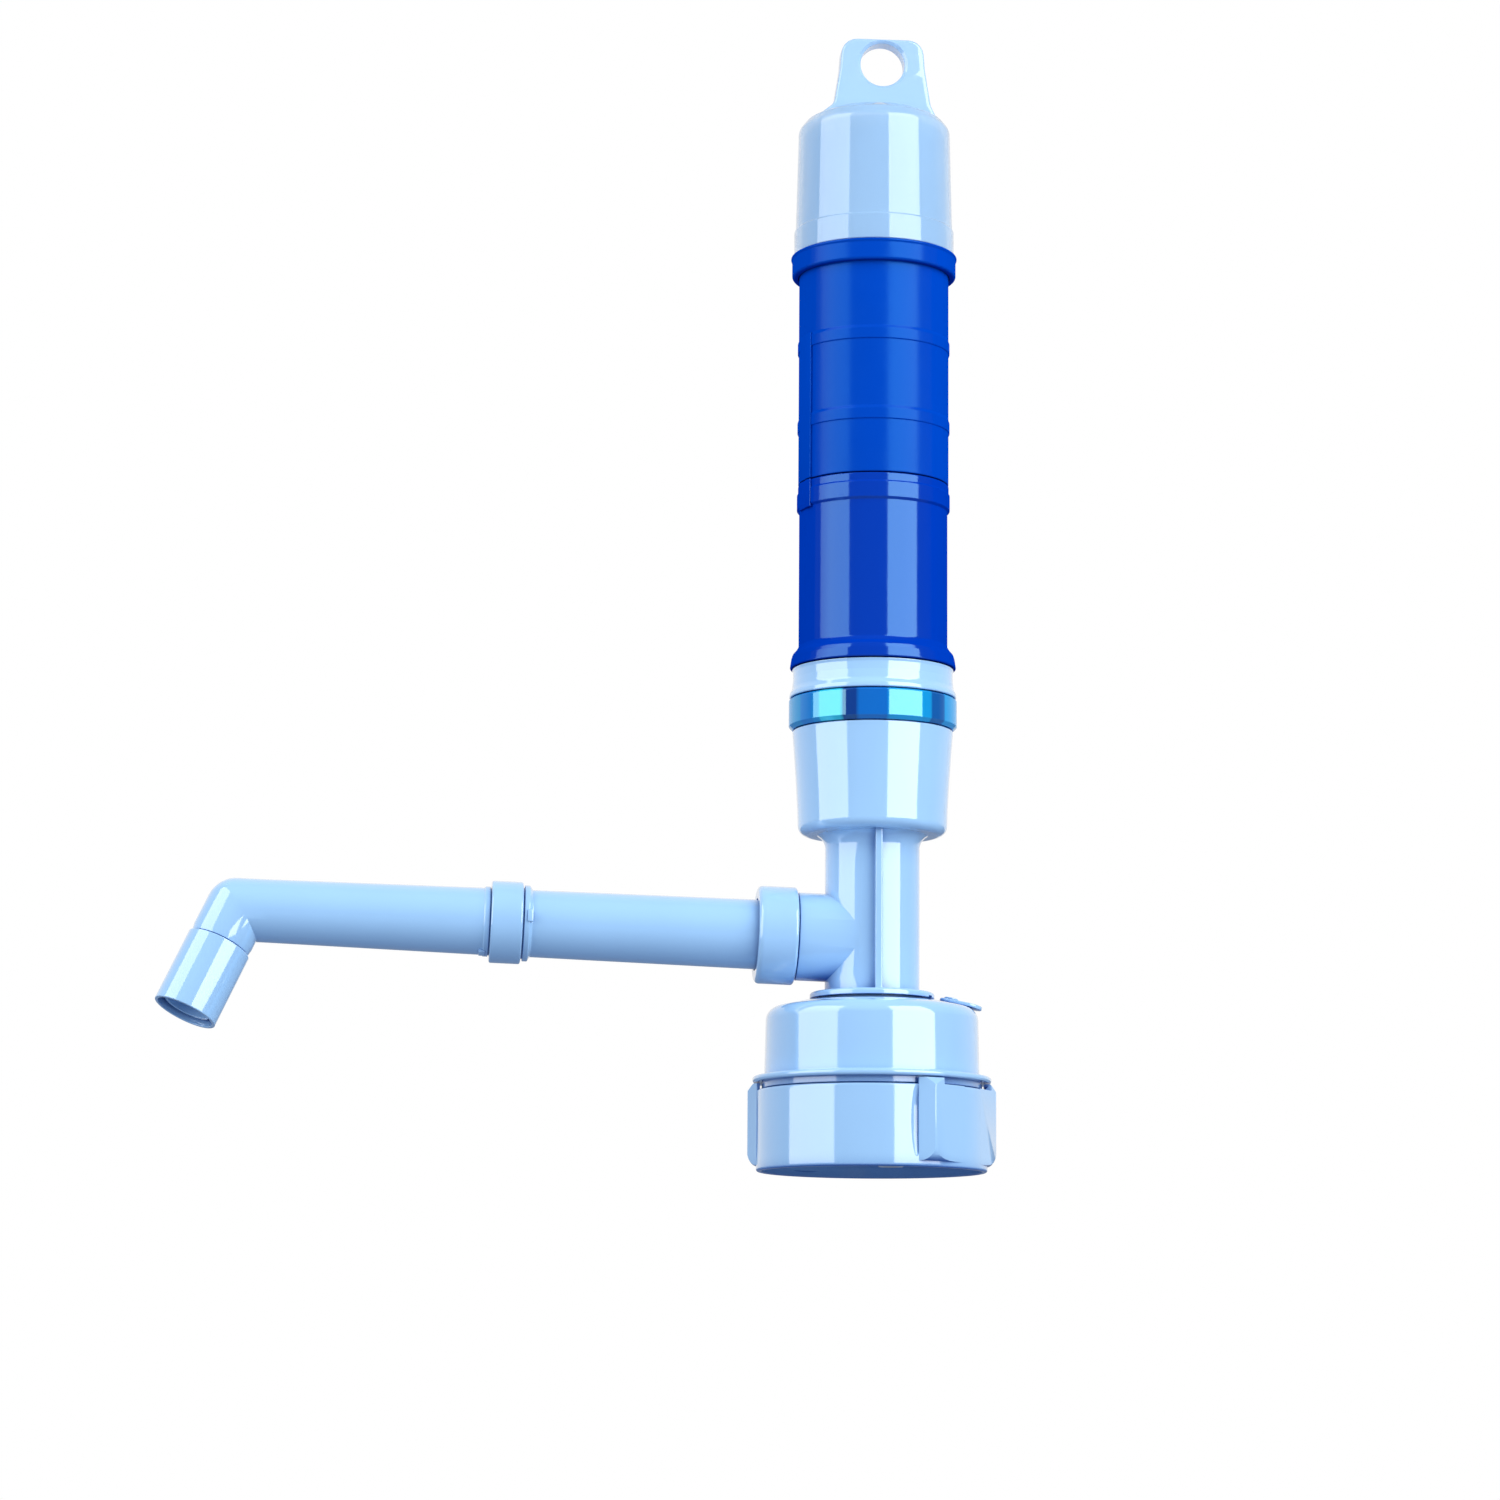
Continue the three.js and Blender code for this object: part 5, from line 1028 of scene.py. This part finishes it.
def outer_spout():
    """Tube, elbow and spigot as one skin, out along the tube and back along its bore."""
    run_place = spout_place @ along_z(outer.swing_deg)
    near = outer.end_radius
    lip = outer.radius + outer.lip_reach
    end = outer.elbow_end + outer.spigot_length
    run = fillet([
        *stairs((outer.bore, outer.start), (outer.head_radius, SMALL_ROUND), outer.head_end, outer.radius,
                outer.lip_start, (lip, FINE_ROUND)),
        (lip, outer.lip_end - outer.lip_slope, outer.lip_round), (outer.radius, outer.lip_end, SMALL_ROUND),
        (outer.end_radius, outer.corner - near)], False)
    drop = fillet([
        (outer.end_radius, near),
        *stairs((outer.elbow_radius, outer.elbow_end, SMALL_ROUND), outer.spigot_radius, end,
                outer.elbow_bore, near)], False)
    rings = [straight_ring(radius, height, run_place) for radius, height in run]
    rings += elbow_rings(outer.end_radius)
    rings += [straight_ring(radius, height, outlet_place) for radius, height in drop]
    rings += elbow_rings(outer.elbow_bore)[::-1]
    rings.append(straight_ring(outer.bore, outer.corner - near, run_place))
    points = [point for one in rings for point in one]
    faces = []
    for row in range(len(rings)):
        low, high = row * FINE, (row + 1) % len(rings) * FINE
        faces += [(low + k, low + (k + 1) % FINE, high + (k + 1) % FINE, high + k) for k in range(FINE)]
    body = mesh_object("outer", points, faces)
    outward(body, MERGE_METRES)
    low = outer.lip_end - outer.tooth_sink
    return joined(body, tube_nub(
        "tooth", outer.tooth_deg, outer.radius, outer.tooth_rise, low,
        low + outer.tooth_wide, outer.tooth_tall))


dressed(outer_spout(), "spout_tube_outer")
dressed(pipe("nozzle", nozzle.radius - nozzle.wall, nozzle.radius, nozzle.start, nozzle.end,
             (nozzle.edge, nozzle.edge, nozzle.edge), outlet_place), "nozzle_sleeve")
dressed(pipe("liner", nozzle.liner_radius - nozzle.liner_wall, nozzle.liner_radius, nozzle.liner_start,
             nozzle.liner_end, (0, FINE_ROUND, FINE_ROUND), outlet_place), "nozzle_liner")

# The solids that stay get the same finishes.
for node, solid in frame["nodes"].items():
    solid.data.materials.clear()
    solid.data.materials.append(looks[node_slots[node]])

# Floor, which the camera sees only from above. Its second colour is what it gives back as light.
FLOOR_HALF = 0.85
FLOOR_Z = -0.0002
FLOOR_RGB = (236, 239, 243)
FLOOR_BOUNCE_RGB = (128, 144, 168)
FLOOR_VARY = 0.01
FLOOR_TONE_SCALE = 3
FLOOR_ROUGHNESS = 0.6
floor_corners = [(-FLOOR_HALF, -FLOOR_HALF, FLOOR_Z), (FLOOR_HALF, -FLOOR_HALF, FLOOR_Z),
                 (FLOOR_HALF, FLOOR_HALF, FLOOR_Z), (-FLOOR_HALF, FLOOR_HALF, FLOOR_Z)]
floor_mesh = bpy.data.meshes.new("floor")
floor_mesh.from_pydata(floor_corners, [], [(0, 1, 2, 3)])
floor = linked("floor", floor_mesh)


def floor_material():
    """Pale to the camera from above, absent to it from below, and dimmer to the light that bounces."""
    material, tree, shader = new_material("pale_floor")
    toned(tree, shader, FLOOR_RGB, FLOOR_VARY, FLOOR_TONE_SCALE)
    fill(tree, shader, {"Roughness": FLOOR_ROUGHNESS})
    camera_ray = ray_is(tree, "Camera")
    underside = add(tree, "NewGeometry", output="Backfacing")
    below = add(tree, "Math", {0: camera_ray, 1: underside}, operation="MULTIPLY")
    bounce = add(tree, "Emission", {"Color": linear(FLOOR_BOUNCE_RGB)})
    seen = add(tree, "MixShader", {0: camera_ray, 1: bounce, 2: shader.outputs["BSDF"]})
    shown = add(tree, "MixShader", {0: below, 1: seen, 2: add(tree, "BsdfTransparent")})
    fill(tree, tree.nodes["Material Output"], {"Surface": shown})
    return material


floor.data.materials.append(floor_material())

# World: full white to the camera and through clear walls. Its light on the object grows with height
# over WORLD_HEIGHTS, and its mirror image grows from front to back over MIRROR_DEPTHS.
WORLD_HEIGHTS = (0.0, 0.9)
WORLD_LEVELS = (0.4, 0.65)
MIRROR_DEPTHS = (0.1, 0.9)
MIRROR_LEVELS = (0.1, 0.85)
world = bpy.data.worlds.new("studio")
bpy.context.scene.world = world
world.use_nodes = True
sky = world.node_tree
shown = add(sky, "Math", {0: ray_is(sky, "Camera"), 1: ray_is(sky, "Transmission")}, operation="MAXIMUM")
lighting = mapped(sky, along_axis(sky, "Generated", "Z"), WORLD_HEIGHTS, WORLD_LEVELS)
mirrored = mapped(sky, along_axis(sky, "Generated", "Y"), MIRROR_DEPTHS, MIRROR_LEVELS)
dimmed = add(sky, "Mix", {"Factor": ray_is(sky, "Glossy"), "A": lighting, "B": mirrored})
level = add(sky, "Math", {0: shown, 1: dimmed}, operation="MAXIMUM")
fill(sky, sky.nodes["Background"], {"Color": (1, 1, 1, 1), "Strength": level})


def soft_box(name, azimuth_deg, distance, width, height, middle_z, radiance, color=(1, 1, 1)):
    """An upright panel of light that faces the object's axis, turned from the front to the right."""
    lamp = bpy.data.lights.new(name, "AREA")
    lamp.shape = "RECTANGLE"
    lamp.size = width
    lamp.size_y = height
    lamp.energy = radiance * pi * width * height
    lamp.color = color
    holder = linked(name, lamp)
    angle = radians(azimuth_deg)
    holder.location = (distance * sin(angle), -distance * cos(angle), middle_z)
    inward = Vector((-holder.location.x, -holder.location.y, 0))
    holder.rotation_mode = "QUATERNION"
    holder.rotation_quaternion = inward.to_track_quat("-Z", "Y")
    holder.visible_camera = False
    return holder


# Two tall boxes in front at the sides, and a low fill at the right that mirrors don't show
soft_box("right_box", azimuth_deg=40, distance=1.25, width=1.14, height=1.9, middle_z=0.82, radiance=3.6,
         color=(0.97, 1, 1))
soft_box("left_box", azimuth_deg=-69.5, distance=1.25, width=1.22, height=1.9, middle_z=0.82, radiance=2.3,
         color=(0.96, 0.98, 1))
side_fill = soft_box("side_fill", azimuth_deg=85, distance=1.3, width=1.0, height=0.9, middle_z=0.1,
                     radiance=0.9)
side_fill.visible_glossy = False

# Camera, at the photograph's angle: below the ring, looking a little up
CAMERA_AT = (-0.1341, -1.1530, -0.0658)
CAMERA_PITCH_DEG = 8.781
CAMERA_TURN_DEG = 5.0
CAMERA_ROLL_DEG = 0.395
LENS_MM = 104.4
SENSOR_MM = 36
CLIP_NEAR = 0.05
CLIP_FAR = 50
lens = bpy.data.cameras.new("camera")
lens.lens = LENS_MM
lens.sensor_width = SENSOR_MM
lens.clip_start = CLIP_NEAR
lens.clip_end = CLIP_FAR
camera = linked("camera", lens)
turn, pitch = radians(CAMERA_TURN_DEG), radians(CAMERA_PITCH_DEG)
ahead = Vector((sin(turn) * cos(pitch), cos(turn) * cos(pitch), sin(pitch)))
camera.location = CAMERA_AT
camera.rotation_mode = "QUATERNION"
roll = along_z(CAMERA_ROLL_DEG).to_quaternion()
camera.rotation_quaternion = ahead.to_track_quat("-Z", "Y") @ roll
bpy.context.scene.camera = camera

bpy.context.scene.view_settings.view_transform = "Standard"
